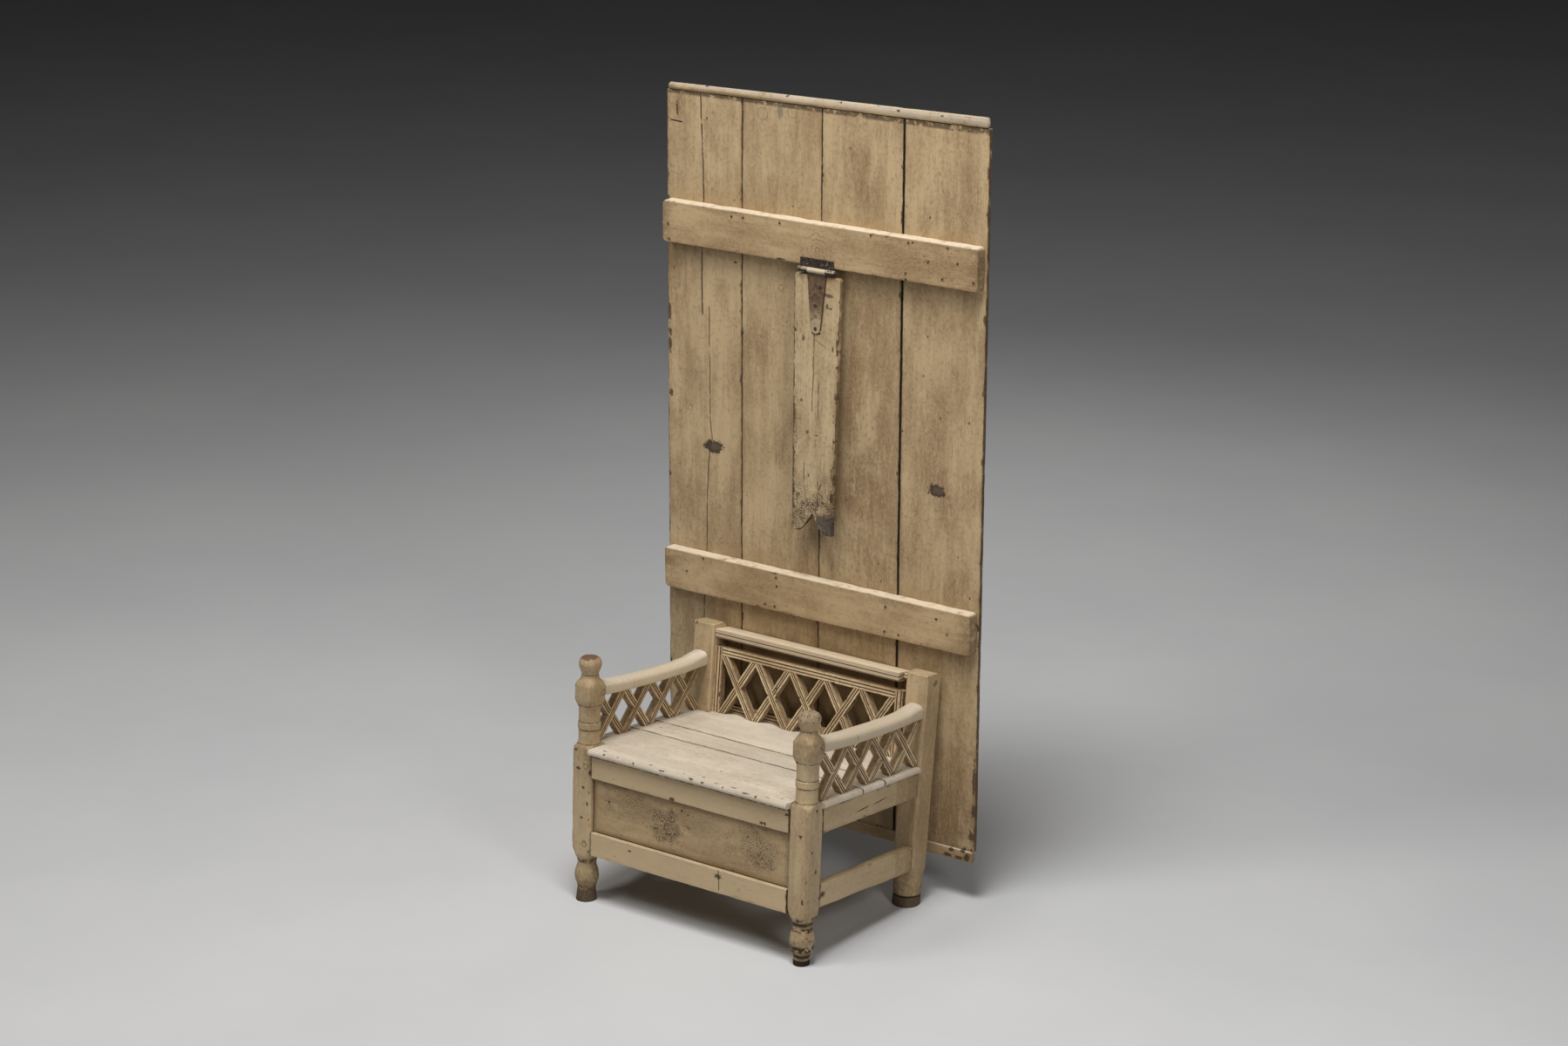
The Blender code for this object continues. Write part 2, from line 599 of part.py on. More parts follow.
def back_lattice():
    left, right = -REAR_INNER + GAP, REAR_INNER - STILE_GAP
    front = REAR_FRONT + BACK_LATTICE_SETBACK
    foot, head = SEAT_TOP + GAP, SEAT_TOP + LATTICE_RISE
    look = {'colour': LATTICE_CREAM, 'roughness': 0.6}
    for word, low, width in (('left', left, STILE_LEFT), ('right', right - STILE_RIGHT, STILE_RIGHT)):
        section = [(low + width / 2 + w, front + t) for w, t in reeded(width, BACK_SLAT)]
        piece('lattice_stile_' + word, bar(section, foot, head, along_n), **look)
    first, last = left + STILE_LEFT + GAP, right - STILE_RIGHT - GAP
    mid = head - LATTICE_TOP_RAIL / 2
    section = [(front + t, mid + w) for w, t in reeded(LATTICE_TOP_RAIL, BACK_SLAT)]
    piece('lattice_top_rail', bar(section, first, last, along_u), **look)
    behind, mid = front + BACK_SLAT + GAP, foot + LATTICE_FOOT_RAIL / 2
    section = [(behind + t, mid + w) for w, t in reeded(LATTICE_FOOT_RAIL, LATTICE_FOOT_DEPTH)]
    piece('lattice_foot_rail', bar(section, left, right, along_u), **look)
    pitch = (last - first) / BACK_CROSSES
    edges = [first + pitch * k for k in range(BACK_CROSSES + 1)]
    heads = [head - LATTICE_TOP_RAIL] * BACK_CROSSES
    crosses('back', edges, heads, (False, False, False, True, True), BACK_SLAT, BACK_SPAN,
            lambda a, n, t: frame_point(a, front + t, n), False)


def head_rise(x, rise):
    """How far the top's upper end, which isn't cut square, has risen at x from its left edge."""
    return rise * (x / TOP_WIDTH + 0.5)


def table_top():
    low, high = TOP_LOW + BOTTOM_CLEAT + GAP, TOP_HIGH - TOP_CLEAT - GAP
    levels = ((-BOARD_THICKNESS, BOARD_EASE), (BOARD_EASE - BOARD_THICKNESS, 0.0), (-BOARD_EASE / 2, 0.0),
              (0.0, BOARD_EASE / 2))
    edge, gaps = -TOP_WIDTH / 2, (0.0, *BOARD_GAPS, 0.0)
    for k, width in enumerate(BOARD_WIDTHS):
        left, right = edge + gaps[k] / 2, edge + width - gaps[k + 1] / 2
        outline = [(left, low), (right, low), (right, high + head_rise(right, BOARD_RISE)),
                   (left, high + head_rise(left, BOARD_RISE))]
        piece(f'table_board_{k + 1}', prism(outline, levels, on_top, [0, 1, 0, 1]), origin=PIVOT)
        edge += width

    def on_head(x, y, t):
        height = TOP_CLEAT + head_rise(x, CLEAT_RISE)
        return top_point(x, y, high + GAP + head_rise(x, BOARD_RISE) + height * t / TOP_CLEAT)

    def on_foot(x, y, t):
        return top_point(x, y, TOP_LOW + t)

    half = TOP_WIDTH / 2 - CLEAT_INSET
    plan = rounded_corners(-half, half, CLEAT_PROUD - CLEAT_DEPTH, CLEAT_PROUD, CLEAT_CORNER)
    for word, height, place in (('top', TOP_CLEAT, on_head), ('bottom', BOTTOM_CLEAT, on_foot)):
        bm = prism(plan, round_over(0.0, height, CLEAT_ROUND), place)
        piece('end_cleat_' + word, bm, origin=PIVOT, smooth=True)
    half = TOP_WIDTH / 2 - BATTEN_INSET
    levels = [(GAP, 0.0)] + round_over(GAP, BATTEN_THICKNESS, BATTEN_ROUND)[3:]
    for word, z0 in (('upper', UPPER_BATTEN_LOW), ('lower', LOWER_BATTEN_LOW)):
        outline = rounded_corners(-half, half, z0, z0 + BATTEN_HEIGHT, BATTEN_CORNER)
        piece('batten_' + word, prism(outline, levels, on_top), origin=PIVOT, smooth=True)


def pivot_rail():
    """A moulded rail fixed to the boards; its turned ends run in the rear posts."""
    height, back = PIVOT_RAIL_HEIGHT, PIVOT_TO_BOARDS - GAP
    face = [(PIVOT_RAIL_REACH - t, PIVOT_RAIL_RISE / 2 + w) for w, t in reeded_face(height)]
    section = [(-back, -PIVOT_RAIL_RISE / 2 - height / 2)] + face + [(-back, height / 2 - PIVOT_RAIL_RISE / 2)]
    left, right = PIVOT_RAIL_LEFT_PLAY - REAR_INNER, REAR_INNER - PIVOT_RAIL_RIGHT_PLAY
    bm = bar(section, left, right, lambda y, z, x: Vector((x, PIVOT.y - y, PIVOT.z + z)))
    rail = piece('pivot_rail', bm, origin=PIVOT)
    tip = HALF_WIDTH - PIN_RECESS
    boolean(rail, piece('pivot_rail_ends', cylinder(PIVOT_PIN_RADIUS, -tip, tip, PIVOT), helper=True), 'UNION')


def leg_outline():
    """The leg's face, from its toothed foot up; x from its middle, z from the hinge axis."""
    top, foot = -LEG_DROP, -LEG_DROP - LEG_LENGTH
    half_top, half_foot = LEG_TOP_WIDTH / 2, LEG_FOOT_WIDTH / 2
    notch = ((-0.66, 0.0), (-0.40, 0.28), (0.02, 1.0), (0.30, 0.32), (0.42, 0.20), (0.62, 0.0))
    points = [(-half_foot, foot)]
    points += [(half_foot * across, foot + LEG_NOTCH * rise) for across, rise in notch]
    points += [(half_foot, foot), (half_top, top - LEG_CORNER), (half_top - LEG_CORNER, top),
               (LEG_CORNER - half_top, top), (-half_top, top - LEG_CORNER)]
    return points


def prop_leg():
    levels = ((LEG_FACE - LEG_THICKNESS, EASE / 2), (LEG_FACE - LEG_THICKNESS + EASE / 2, 0.0),
              (LEG_FACE - EASE, 0.0), (LEG_FACE, EASE))
    piece('prop_leg', prism(leg_outline(), levels, on_leg), origin=HINGE)


def t_hinge():
    """Leaf on the batten, tapered strap on the leg, and the pin through their knuckles."""
    sheet = ((-HINGE_PLATE / 2, 0.0), (HINGE_PLATE / 2, 0.0))
    knuckle, half, end = STRAP_WIDTH / 2, HINGE_LEAF_WIDTH / 2, BARREL_LENGTH / 2
    bore = cylinder(HINGE_PIN_RADIUS + PIN_PLAY, HINGE.x - BARREL_LENGTH, HINGE.x + BARREL_LENGTH, HINGE)
    bore = piece('hinge_bore', bore, helper=True)

    outline = [(-knuckle, 0.0), (-knuckle, -STRAP_SHOULDER)]
    for step in range(7):
        angle = math.radians(180 + 180 * step / 6)
        drop = STRAP_LENGTH - STRAP_END_RADIUS * (1 + math.sin(angle))
        outline.append((STRAP_END_RADIUS * math.cos(angle), -drop))
    outline += [(knuckle, -STRAP_SHOULDER), (knuckle, 0.0)]
    strap = piece('hinge_strap', prism(outline, sheet, on_leg), RUST, 0.7, 0.5, origin=HINGE)
    roll = cylinder(BARREL_RADIUS, HINGE.x - knuckle, HINGE.x + knuckle, HINGE)
    boolean(strap, piece('hinge_strap_roll', roll, helper=True), 'UNION')
    boolean(strap, bore, 'DIFFERENCE')

    clear, lift = knuckle + KNUCKLE_GAP, BARREL_RADIUS + EASE
    outline = [(-half, 0.0), (-clear, 0.0), (-clear, lift), (clear, lift), (clear, 0.0), (half, 0.0),
               (half, HINGE_LEAF_HEIGHT), (-half, HINGE_LEAF_HEIGHT)]
    bm = prism(outline, sheet, lambda x, z, y: HINGE + Vector((x, -y, z)))
    leaf = piece('hinge_leaf', bm, IRON, 0.7, 0.6, origin=PIVOT)
    for word, start, stop in (('left', -end, -clear), ('right', clear, end)):
        roll = cylinder(BARREL_RADIUS, HINGE.x + start, HINGE.x + stop, HINGE)
        boolean(leaf, piece('hinge_leaf_roll_' + word, roll, helper=True), 'UNION')
    boolean(leaf, bore, 'DIFFERENCE')
    tip = end + HINGE_PIN_END
    pin = cylinder(HINGE_PIN_RADIUS, HINGE.x - tip, HINGE.x + tip, HINGE, sides=16)
    piece('hinge_pin', pin, IRON, 0.6, 0.7, origin=PIVOT, smooth=True)


def stand_on_origin():
    """Moves the whole object so that the middle of its bounding box stands on the origin."""
    corners = [obj.location + vert.co for obj in made if not obj.hide_render for vert in obj.data.vertices]
    low = [min(corner[i] for corner in corners) for i in range(3)]
    high = [max(corner[i] for corner in corners) for i in range(3)]
    for obj in made:
        obj.location += Vector((-(low[0] + high[0]) / 2, -(low[1] + high[1]) / 2, -low[2]))


front_post('front_post_left', -1, FOOT_LEFT)
front_post('front_post_right', 1, FOOT_RIGHT)
rear_post('rear_post_left', -1)
rear_post('rear_post_right', 1)
rails()
seat_boards()
arm('arm_left', -1)
arm('arm_right', 1)
back_lattice()
side_lattice('left', -1, -1, (True, True, True, True))
side_lattice('right', 1, -1, (True, True, False, False))
table_top()
pivot_rail()
prop_leg()
t_hinge()
stand_on_origin()
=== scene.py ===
# %% [markdown]
# # A painted table settle
# A settle is a wooden bench with arms and a back. This one has a tall board top behind it that tilts
# forward on a pivot rail to make a table, and a leg that swings out to prop the table's far end.
# The shapes come from the imported model. This file gives them their old paint, wear, iron and light.
# We start from an empty scene and load the imported model.

# %% Load the imported model
import functools
import json
import math

import bmesh
import bpy
from mathutils import Matrix, Vector, noise
from mathutils.bvhtree import BVHTree

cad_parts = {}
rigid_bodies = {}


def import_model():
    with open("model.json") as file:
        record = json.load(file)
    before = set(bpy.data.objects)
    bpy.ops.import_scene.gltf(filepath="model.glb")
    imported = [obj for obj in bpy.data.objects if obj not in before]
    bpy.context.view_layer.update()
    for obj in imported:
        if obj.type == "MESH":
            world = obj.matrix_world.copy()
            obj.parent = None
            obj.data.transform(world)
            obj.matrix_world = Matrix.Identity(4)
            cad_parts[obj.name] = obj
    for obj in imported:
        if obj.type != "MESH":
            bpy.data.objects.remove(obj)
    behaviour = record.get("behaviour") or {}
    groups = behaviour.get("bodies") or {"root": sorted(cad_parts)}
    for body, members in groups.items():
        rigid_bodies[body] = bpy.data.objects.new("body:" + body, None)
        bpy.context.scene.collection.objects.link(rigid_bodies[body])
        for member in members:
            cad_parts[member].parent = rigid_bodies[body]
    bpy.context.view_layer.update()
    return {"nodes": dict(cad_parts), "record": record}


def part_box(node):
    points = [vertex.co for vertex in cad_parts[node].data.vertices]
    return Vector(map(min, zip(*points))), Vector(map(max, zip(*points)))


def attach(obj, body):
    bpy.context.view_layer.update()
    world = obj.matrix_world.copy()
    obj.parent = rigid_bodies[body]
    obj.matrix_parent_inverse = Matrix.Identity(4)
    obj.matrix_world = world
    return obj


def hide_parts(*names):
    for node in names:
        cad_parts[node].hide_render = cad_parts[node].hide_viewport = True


for leftover in list(bpy.data.objects):
    bpy.data.objects.remove(leftover)
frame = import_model()
bodies = frame["record"]["behaviour"]["bodies"]
body_of = {node: body for body, nodes in bodies.items() for node in nodes}
slot_of = {part["node"]: part["material_slot"] for part in frame["record"]["subparts"]}
scene = bpy.context.scene

# %% [markdown]
# ## Camera
# The photograph looks down on the settle from its right front corner with a long lens. A camera is a
# matrix: its columns are the right, up and backward directions, and the place where it stands.
# Writing these from an azimuth, an elevation and a slight roll keeps the view easy to adjust.

# %% Camera at the photograph's viewing angle
AZIMUTH, ELEVATION, ROLL = (math.radians(angle) for angle in (35.84, 17.23, 0.27))
AIM, AWAY = Vector((0.3499, -0.3379, 1.2576)), 9.0579
FOCAL_LENGTH, SENSOR_WIDTH, FAR_CLIP = 79.51, 36.0, 200.0
level = Vector((math.cos(AZIMUTH), math.sin(AZIMUTH), 0))
outward = math.cos(ELEVATION)
back = Vector((math.sin(AZIMUTH) * outward, -math.cos(AZIMUTH) * outward, math.sin(ELEVATION)))
rise = back.cross(level)
right = math.cos(ROLL) * level + math.sin(ROLL) * rise
up = math.cos(ROLL) * rise - math.sin(ROLL) * level
lens = bpy.data.cameras.new("photograph")
lens.sensor_width, lens.lens, lens.clip_end = SENSOR_WIDTH, FOCAL_LENGTH, FAR_CLIP
camera = bpy.data.objects.new("photograph", lens)
camera.matrix_world = Matrix((right, up, back)).transposed().to_4x4()
camera.matrix_world.translation = AIM + back * AWAY
scene.collection.objects.link(camera)
scene.camera = camera
print("camera stands at", [round(c, 2) for c in camera.matrix_world.translation])

# %% [markdown]
# ## Shader maths
# Old paint is many thin layers of chance, and each layer is a formula on the surface. Wiring formulas
# by hand hides them, so a small class wraps a node's output and lets Python operators add Math nodes.
# Every other node is made by one method: its type, its settings, and what goes into its sockets.


# %% Wires that turn operators into nodes
class Wire:
    """One output of a node; arithmetic on it adds Math nodes to its finish."""

    def __init__(self, finish, socket):
        self.finish, self.socket = finish, socket

    def pick(self, out):
        return Wire(self.finish, self.socket.node.outputs[out])

    def math(self, operation, first, second=0.0):
        return self.finish.node("ShaderNodeMath", {"operation": operation}, {0: first, 1: second})

    def __add__(self, other):
        return self.math("ADD", self, other)

    def __sub__(self, other):
        return self.math("SUBTRACT", self, other)

    def __mul__(self, other):
        return self.math("MULTIPLY", self, other)

    def __rsub__(self, other):
        return self.math("SUBTRACT", other, self)

    __radd__, __rmul__ = __add__, __mul__

    def __abs__(self):
        return self.math("ABSOLUTE", self)

    def least(self, other):
        return self.math("MINIMUM", self, other)

    def most(self, other):
        return self.math("MAXIMUM", self, other)

    def within(self, low, high):
        """0 up to low and 1 from high, with a soft step between; low may be the larger."""
        settings = {"interpolation_type": "SMOOTHSTEP"}
        return self.finish.node("ShaderNodeMapRange", settings, {0: self, 1: low, 2: high})


def gather(masks):
    """One mask that holds all of these."""
    return functools.reduce(Wire.most, masks)


print("wires can be added, subtracted, multiplied and compared")

# %% [markdown]
# A finish is one material. Each starts from the same coordinates: the place on the object, and three
# vectors that every piece will carry, which say how far a point lies along, across and through its own
# piece of wood. Subtracting them from half the piece's size gives the distance to its ends, its long
# edges and its faces, which is where wear begins.


# %% A finish and its node tree
class Finish:
    """One material, with the coordinates that every layer of it starts from."""

    def __init__(self, name):
        self.material = bpy.data.materials.new(name)
        self.material.use_nodes = True
        self.tree = self.material.node_tree
        self.tree.nodes.clear()
        self.place = self.node("ShaderNodeTexCoord", out="Object")
        self.grain, self.half, self.lot = (self.carried(kind) for kind in ("grain", "half", "lot"))
        self.fibre = self.vector("ADD", self.grain, self.lot)
        inside = self.vector("SUBTRACT", self.half, self.vector("ABSOLUTE", self.grain))
        self.to_end, self.to_side, self.to_face = self.parts(inside)
        self.frays = {}

    def node(self, kind, settings=None, links=None, out=0):
        made = self.tree.nodes.new(kind)
        for key, value in (settings or {}).items():
            setattr(made, key, value)
        for key, value in (links or {}).items():
            if isinstance(value, Wire):
                self.tree.links.new(value.socket, made.inputs[key])
            else:
                made.inputs[key].default_value = value
        return Wire(self, made.outputs[out]) if made.outputs else None

    def carried(self, name):
        """A vector that the mesh carries at each point under this name."""
        return self.node("ShaderNodeAttribute", {"attribute_name": name}, out="Vector")

    def vector(self, operation, first, second=(0, 0, 0), out=0):
        return self.node("ShaderNodeVectorMath", {"operation": operation}, {0: first, 1: second}, out)

    def length(self, vector):
        return self.vector("LENGTH", vector, out="Value")

    def parts(self, vector):
        parted = self.node("ShaderNodeSeparateXYZ", links={0: vector})
        return parted, parted.pick(1), parted.pick(2)

    def cloud(self, scale, detail=4.0, rough=0.55, where=None):
        """Noise along the grain; scale is how many waves a metre holds along, across and through."""
        scale = scale if isinstance(scale, tuple) else (scale,) * 3
        stretched = self.vector("MULTIPLY", where or self.fibre, scale)
        inputs = {"Vector": stretched, "Scale": 1.0, "Detail": detail, "Roughness": rough}
        return self.node("ShaderNodeTexNoise", None, inputs)

    def cells(self, scale, feature="F1", where=None):
        """Distance to the nearest of many scattered points, about scale of them to a metre."""
        stretched = self.vector("MULTIPLY", where or self.fibre, (scale,) * 3)
        return self.node("ShaderNodeTexVoronoi", {"feature": feature}, {"Vector": stretched, "Scale": 1.0})

    def fray(self, scale):
        """Noise about zero that frays the outlines of marks; one node serves every mark of a scale."""
        if scale not in self.frays:
            self.frays[scale] = self.cloud(scale, 3.0, 0.65, self.place) - 0.5
        return self.frays[scale]

    def blend(self, share, first, second):
        first, second = ((*c, 1.0) if isinstance(c, tuple) else c for c in (first, second))
        settings = {"data_type": "RGBA", "clamp_factor": True}
        return self.node("ShaderNodeMix", settings, {0: share, 6: first, 7: second}, out=2)

    def seal(self, colour, rough, height, depth, sheen=0.5, metal=0.0):
        """The last layer: the shader, with what is the same all over set on its own sockets."""
        bump = self.node("ShaderNodeBump", None, {"Strength": 1.0, "Distance": depth, "Height": height})
        changing = {"Base Color": colour, "Roughness": rough, "Normal": bump}
        fixed = {"Specular IOR Level": sheen, "Metallic": metal}
        shader = self.node("ShaderNodeBsdfPrincipled", None, {**changing, **fixed})
        self.node("ShaderNodeOutputMaterial", None, {"Surface": shader})
        print(self.material.name, "has", len(self.tree.nodes), "nodes")


def nodes_added(finish, draw):
    """How many nodes a step of drawing adds to a finish."""
    before = len(finish.tree.nodes)
    draw()
    return len(finish.tree.nodes) - before


trial = Finish("trial")
print("1 - wire * 0.5 adds", nodes_added(trial, lambda: 1 - trial.to_end * 0.5), "nodes")

# %% [markdown]
# ## Floor
# A pale plain floor, wide enough that its far edge never shows, with a barely visible scuffed tone.

# %% Floor
FLOOR_REACH = 45.0
FLOOR_GREY, FLOOR_PALE = (0.60, 0.605, 0.62), (0.64, 0.645, 0.655)


def stand(name, mesh, finish):
    """Makes an object of a mesh, gives it its finish and puts it in the scene."""
    mesh.materials.append(finish.material)
    made = bpy.data.objects.new(name, mesh)
    scene.collection.objects.link(made)
    return made


ground = Finish("studio_floor")
scuffs = ground.cloud(0.8, 5.0, 0.6, ground.place)
greys = ground.blend(scuffs.within(0.3, 0.7), FLOOR_GREY, FLOOR_PALE)
ground.seal(greys, 0.75 - 0.1 * scuffs, scuffs, 0.0005)
corners = [(FLOOR_REACH * x, FLOOR_REACH * y, 0) for x, y in ((-1, -1), (1, -1), (1, 1), (-1, 1))]
floor_mesh = bpy.data.meshes.new("studio_floor")
floor_mesh.from_pydata(corners, [], [(0, 1, 2, 3)])
floor = stand("studio_floor", floor_mesh, ground)

# %% [markdown]
# ## Light
# The studio has a wide soft light overhead and two weaker ones in front and at the side, so the seat
# and the arms shine, the fronts stay calm and the battens throw short soft shadows. A last weak one
# behind lets the back be seen when the view goes round. Area lamps give that softness; the world only
# fills the shadows a little.

# %% Lamps and world
WORLD_GREY, WORLD_STRENGTH = (0.50, 0.51, 0.53, 1.0), 0.02


def lamp(name, place, aim, size, watts, colour):
    light = bpy.data.lights.new(name, "AREA")
    light.shape, light.size, light.energy, light.color = "DISK", size, watts, colour
    made = bpy.data.objects.new(name, light)
    made.location = place
    made.rotation_euler = (Vector(aim) - Vector(place)).to_track_quat("-Z", "Y").to_euler()
    scene.collection.objects.link(made)


lamp("overhead", (0.7, -1.9, 7.0), (0.3, -0.5, 0.0), 2.6, 360, (1.0, 0.99, 0.97))
lamp("front_left", (-2.2, -3.7, 6.1), (0.0, 0.1, 0.8), 1.8, 98, (1.0, 0.97, 0.93))
lamp("right_side", (4.4, -2.2, 3.2), (0.2, 0.0, 0.5), 1.6, 64, (1.0, 0.98, 0.95))
lamp("behind", (-1.4, 4.6, 3.6), (0.0, 0.4, 1.1), 2.4, 26, (1.0, 0.99, 0.97))
scene.world = bpy.data.worlds.new("studio")
scene.world.use_nodes = True
background = scene.world.node_tree.nodes["Background"]
background.inputs["Color"].default_value = WORLD_GREY
background.inputs["Strength"].default_value = WORLD_STRENGTH
scene.view_settings.view_transform = "Standard"

# %% [markdown]
# ## The bench's slanted frame
# The bench leans back while the top stands plumb, so the bench has a slanted frame of its own: u goes
# to the right of its middle, v behind its front and n up its posts. One function turns such a place
# into a point of the room. Its inverse has no short formula, so a few rounds of correction find it.

# %% Places on the bench
BENCH_MIDDLE, BENCH_FRONT = 0.014, -0.33792
RECLINE, LEAN_FRONT, LEAN_RATE = 0.0965, 0.041, 0.1225
ROUNDS = 8


def mm(*lengths):
    """Metres from millimetres."""
    return tuple(length / 1000 for length in lengths)


def on_bench(u, v, n):
    """The point of the room at a place on the bench, given in millimetres."""
    u, v, n = mm(u, v, n)
    return Vector((u + BENCH_MIDDLE, v + n * (LEAN_FRONT + LEAN_RATE * v) + BENCH_FRONT, n - RECLINE * v))


def bench_measure(point):
    v = point.y - BENCH_FRONT
    for _ in range(ROUNDS):
        n = point.z + RECLINE * v
        v = (point.y - BENCH_FRONT - n * LEAN_FRONT) / (1 + n * LEAN_RATE)
    return {"u": point.x - BENCH_MIDDLE, "v": v, "n": point.z + RECLINE * v}


print("the middle of the seat's front is at", [round(c, 3) for c in on_bench(0, 0, 466)])

# %% [markdown]
# ## Measuring along the grain
# Paint streaks, splits and worn edges follow each piece of wood, not the room. So every piece carries
# three numbers at each point: how far it lies along the grain, across it and through the thickness,
# from the middle of the piece. A table says which axes these are, by how a piece's name starts, and
# the lattice sticks are also turned to lie along their own slope.

# %% Places along, across and through a piece
GRAIN_WAYS = {
    "front_post": "nuv", "rear_post": "nuv", "front_": "unv", "side_": "vnu", "rear_seat_rail": "unv",
    "seat_board": "uvn", "arm": "vun", "lattice_stile": "nuv", "lattice": "unv",
    "back_slat": "unv", "left_slat": "vnu", "right_slat": "vnu",
    "table_board": "zxy", "batten": "xzy", "end_cleat": "xzy", "pivot_rail": "xzy",
    "prop_leg": "zxy", "hinge": "zxy",
}


def grain_way(node):
    return next(way for start, way in GRAIN_WAYS.items() if node.startswith(start))


def top_measure(point):
    return {"x": point.x, "y": point.y, "z": point.z}


def along_slope(places, bm):
    """Turns a stick's places so that its longest edge lies along the first axis."""
    bm.verts.index_update()
    runs = [places[edge.verts[1].index] - places[edge.verts[0].index] for edge in bm.edges]
    slope = max(runs, key=lambda run: run.xy.length)
    turn = Matrix.Rotation(-math.atan2(slope.y, slope.x), 3, "Z")
    return [turn @ place for place in places]


def grain_places(node, bm):
    """Each corner's place along, across and through its piece, and half the piece's size each way."""
    way = grain_way(node)
    measure = bench_measure if way[0] in "uvn" else top_measure
    places = [Vector([measure(vert.co)[axis] for axis in way]) for vert in bm.verts]
    if "slat" in node:
        places = along_slope(places, bm)
    low = Vector([min(place[i] for place in places) for i in range(3)])
    high = Vector([max(place[i] for place in places) for i in range(3)])
    return [place - (low + high) / 2 for place in places], (high - low) / 2


print(len({grain_way(node) for node in slot_of}), "ways for the grain to run")

# %% [markdown]
# ## Worn copies of the pieces
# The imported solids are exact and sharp. Wood that was planed by hand and used for generations isn't:
# its edges wander and are nicked. Each solid is copied, sliced along its length so that its edges have
# points to move, and each point is pushed inwards by smooth noise, so a copy never grows past its solid.

# %% Copy a solid, slice it and wear it
WELD, FLAT, SHARP = 2e-5, math.radians(0.4), math.radians(34)
SLOW_WAVES, QUICK_WAVES, SHIFT = 9.0, 42.0, Vector((3.1, 0.7, 5.3))
FLOOR_SKIN = 0.002
ROOM_AXIS = {"u": 0, "v": 1, "n": 2, "x": 0, "y": 1, "z": 2}


def sliced(bm, axis, low, high, step):
    """Cuts a piece across its length, about every step."""
    count = int((high[axis] - low[axis]) / step)
    spot, normal = Vector((0, 0, 0)), Vector((0, 0, 0))
    normal[axis] = 1.0
    for cut in range(1, count):
        spot[axis] = low[axis] + (high[axis] - low[axis]) * cut / count
        everything = bm.verts[:] + bm.edges[:] + bm.faces[:]
        bmesh.ops.bisect_plane(bm, geom=everything, plane_co=spot, plane_no=normal)


def worn(bm, low, high, wander, nick):
    """Pushes each point in by noise; what stands on the floor stays, and all stays in the box."""
    bm.normal_update()
    for vert in bm.verts:
        slow = 0.5 + 0.5 * noise.noise(vert.co * SLOW_WAVES + SHIFT)
        quick = max(0.0, noise.noise(vert.co * QUICK_WAVES) - 0.15)
        depth = wander * slow + nick * quick if vert.co.z > FLOOR_SKIN else 0.0
        moved = vert.co - vert.normal * depth
        vert.co = Vector([min(max(c, least), most) for c, least, most in zip(moved, low, high)])


def weathered(node, step, wander, nick):
    """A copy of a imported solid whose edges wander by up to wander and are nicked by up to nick."""
    bm = bmesh.new()
    bm.from_mesh(frame["nodes"][node].data)
    bmesh.ops.remove_doubles(bm, verts=bm.verts, dist=WELD)
    bmesh.ops.dissolve_limit(bm, angle_limit=FLAT, verts=bm.verts, edges=bm.edges)
    if step:
        low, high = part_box(node)
        sliced(bm, ROOM_AXIS[grain_way(node)[0]], low, high, step)
        worn(bm, low, high, wander, nick)
    for face in bm.faces:
        face.smooth = True
    for edge in bm.edges:
        edge.smooth = len(edge.link_faces) == 2 and edge.calc_face_angle(0.0) < SHARP
    return bm


sample = weathered("front_seat_rail", 0.02, 0.001, 0.003)
print("the front seat rail gets", len(sample.verts), "points to move")
sample.free()

# %% [markdown]
# ## Dressing a piece
# Each worn copy takes its solid's place: it rides on the same body, hides the solid and takes its
# finish. It also carries its places along the grain, and a lot, a shift of its own, so that no two
# pieces show the same stretch of noise. The prop leg hangs aslant and widens upwards, so its places
# are straightened first, and marks along its edges then follow the edges.

# %% Dress a piece
LEG_HANG, LEG_FOOT_HALF, LEG_WIDENING = 0.0268, 0.0685, 0.010
LOT_STEPS = ((3.71, 11), (5.37, 13), (7.93, 17))


def carry(mesh, **vectors):
    """Stores vectors at the points of a mesh, for the finishes to read."""
    for name, rows in vectors.items():
        layer = mesh.attributes.new(name, "FLOAT_VECTOR", "POINT")
        layer.data.foreach_set("vector", [c for row in rows for c in row])


def leg_places(places, half):
    """The prop leg's places with its hang and its taper taken out."""
    foot, head = min(p.x for p in places), max(p.x for p in places)
    straight = []
    for p in places:
        wide = LEG_FOOT_HALF + LEG_WIDENING * (p.x - foot) / (head - foot)
        straight.append(Vector((p.x, p.y * half.y / wide, p.z - LEG_HANG * p.x)))
    half.z = max(p.z for p in straight)
    return straight


def dress(node, finish, step=0.02, wander=0.0006, nick=0.0012):
    """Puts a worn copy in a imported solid's place, with its finish and its places along the grain."""
    bm = weathered(node, step, wander, nick)
    places, half = grain_places(node, bm)
    if node == "prop_leg":
        places = leg_places(places, half)
    mesh = bpy.data.meshes.new("worn_" + node)
    bm.to_mesh(mesh)
    bm.free()
    number = sorted(slot_of).index(node)
    lot = [number * stride % turn for stride, turn in LOT_STEPS]
    carry(mesh, grain=places, half=[half] * len(places), lot=[lot] * len(places))
    made = stand("worn_" + node, mesh, finish)
    made.modifiers.new("flat_faces", "WEIGHTED_NORMAL").keep_sharp = True
    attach(made, body_of[node])
    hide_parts(node)


def nodes_of(slot):
    return [node for node in sorted(slot_of) if slot_of[node] == slot]


print({slot: len(nodes_of(slot)) for slot in sorted(set(slot_of.values()))})

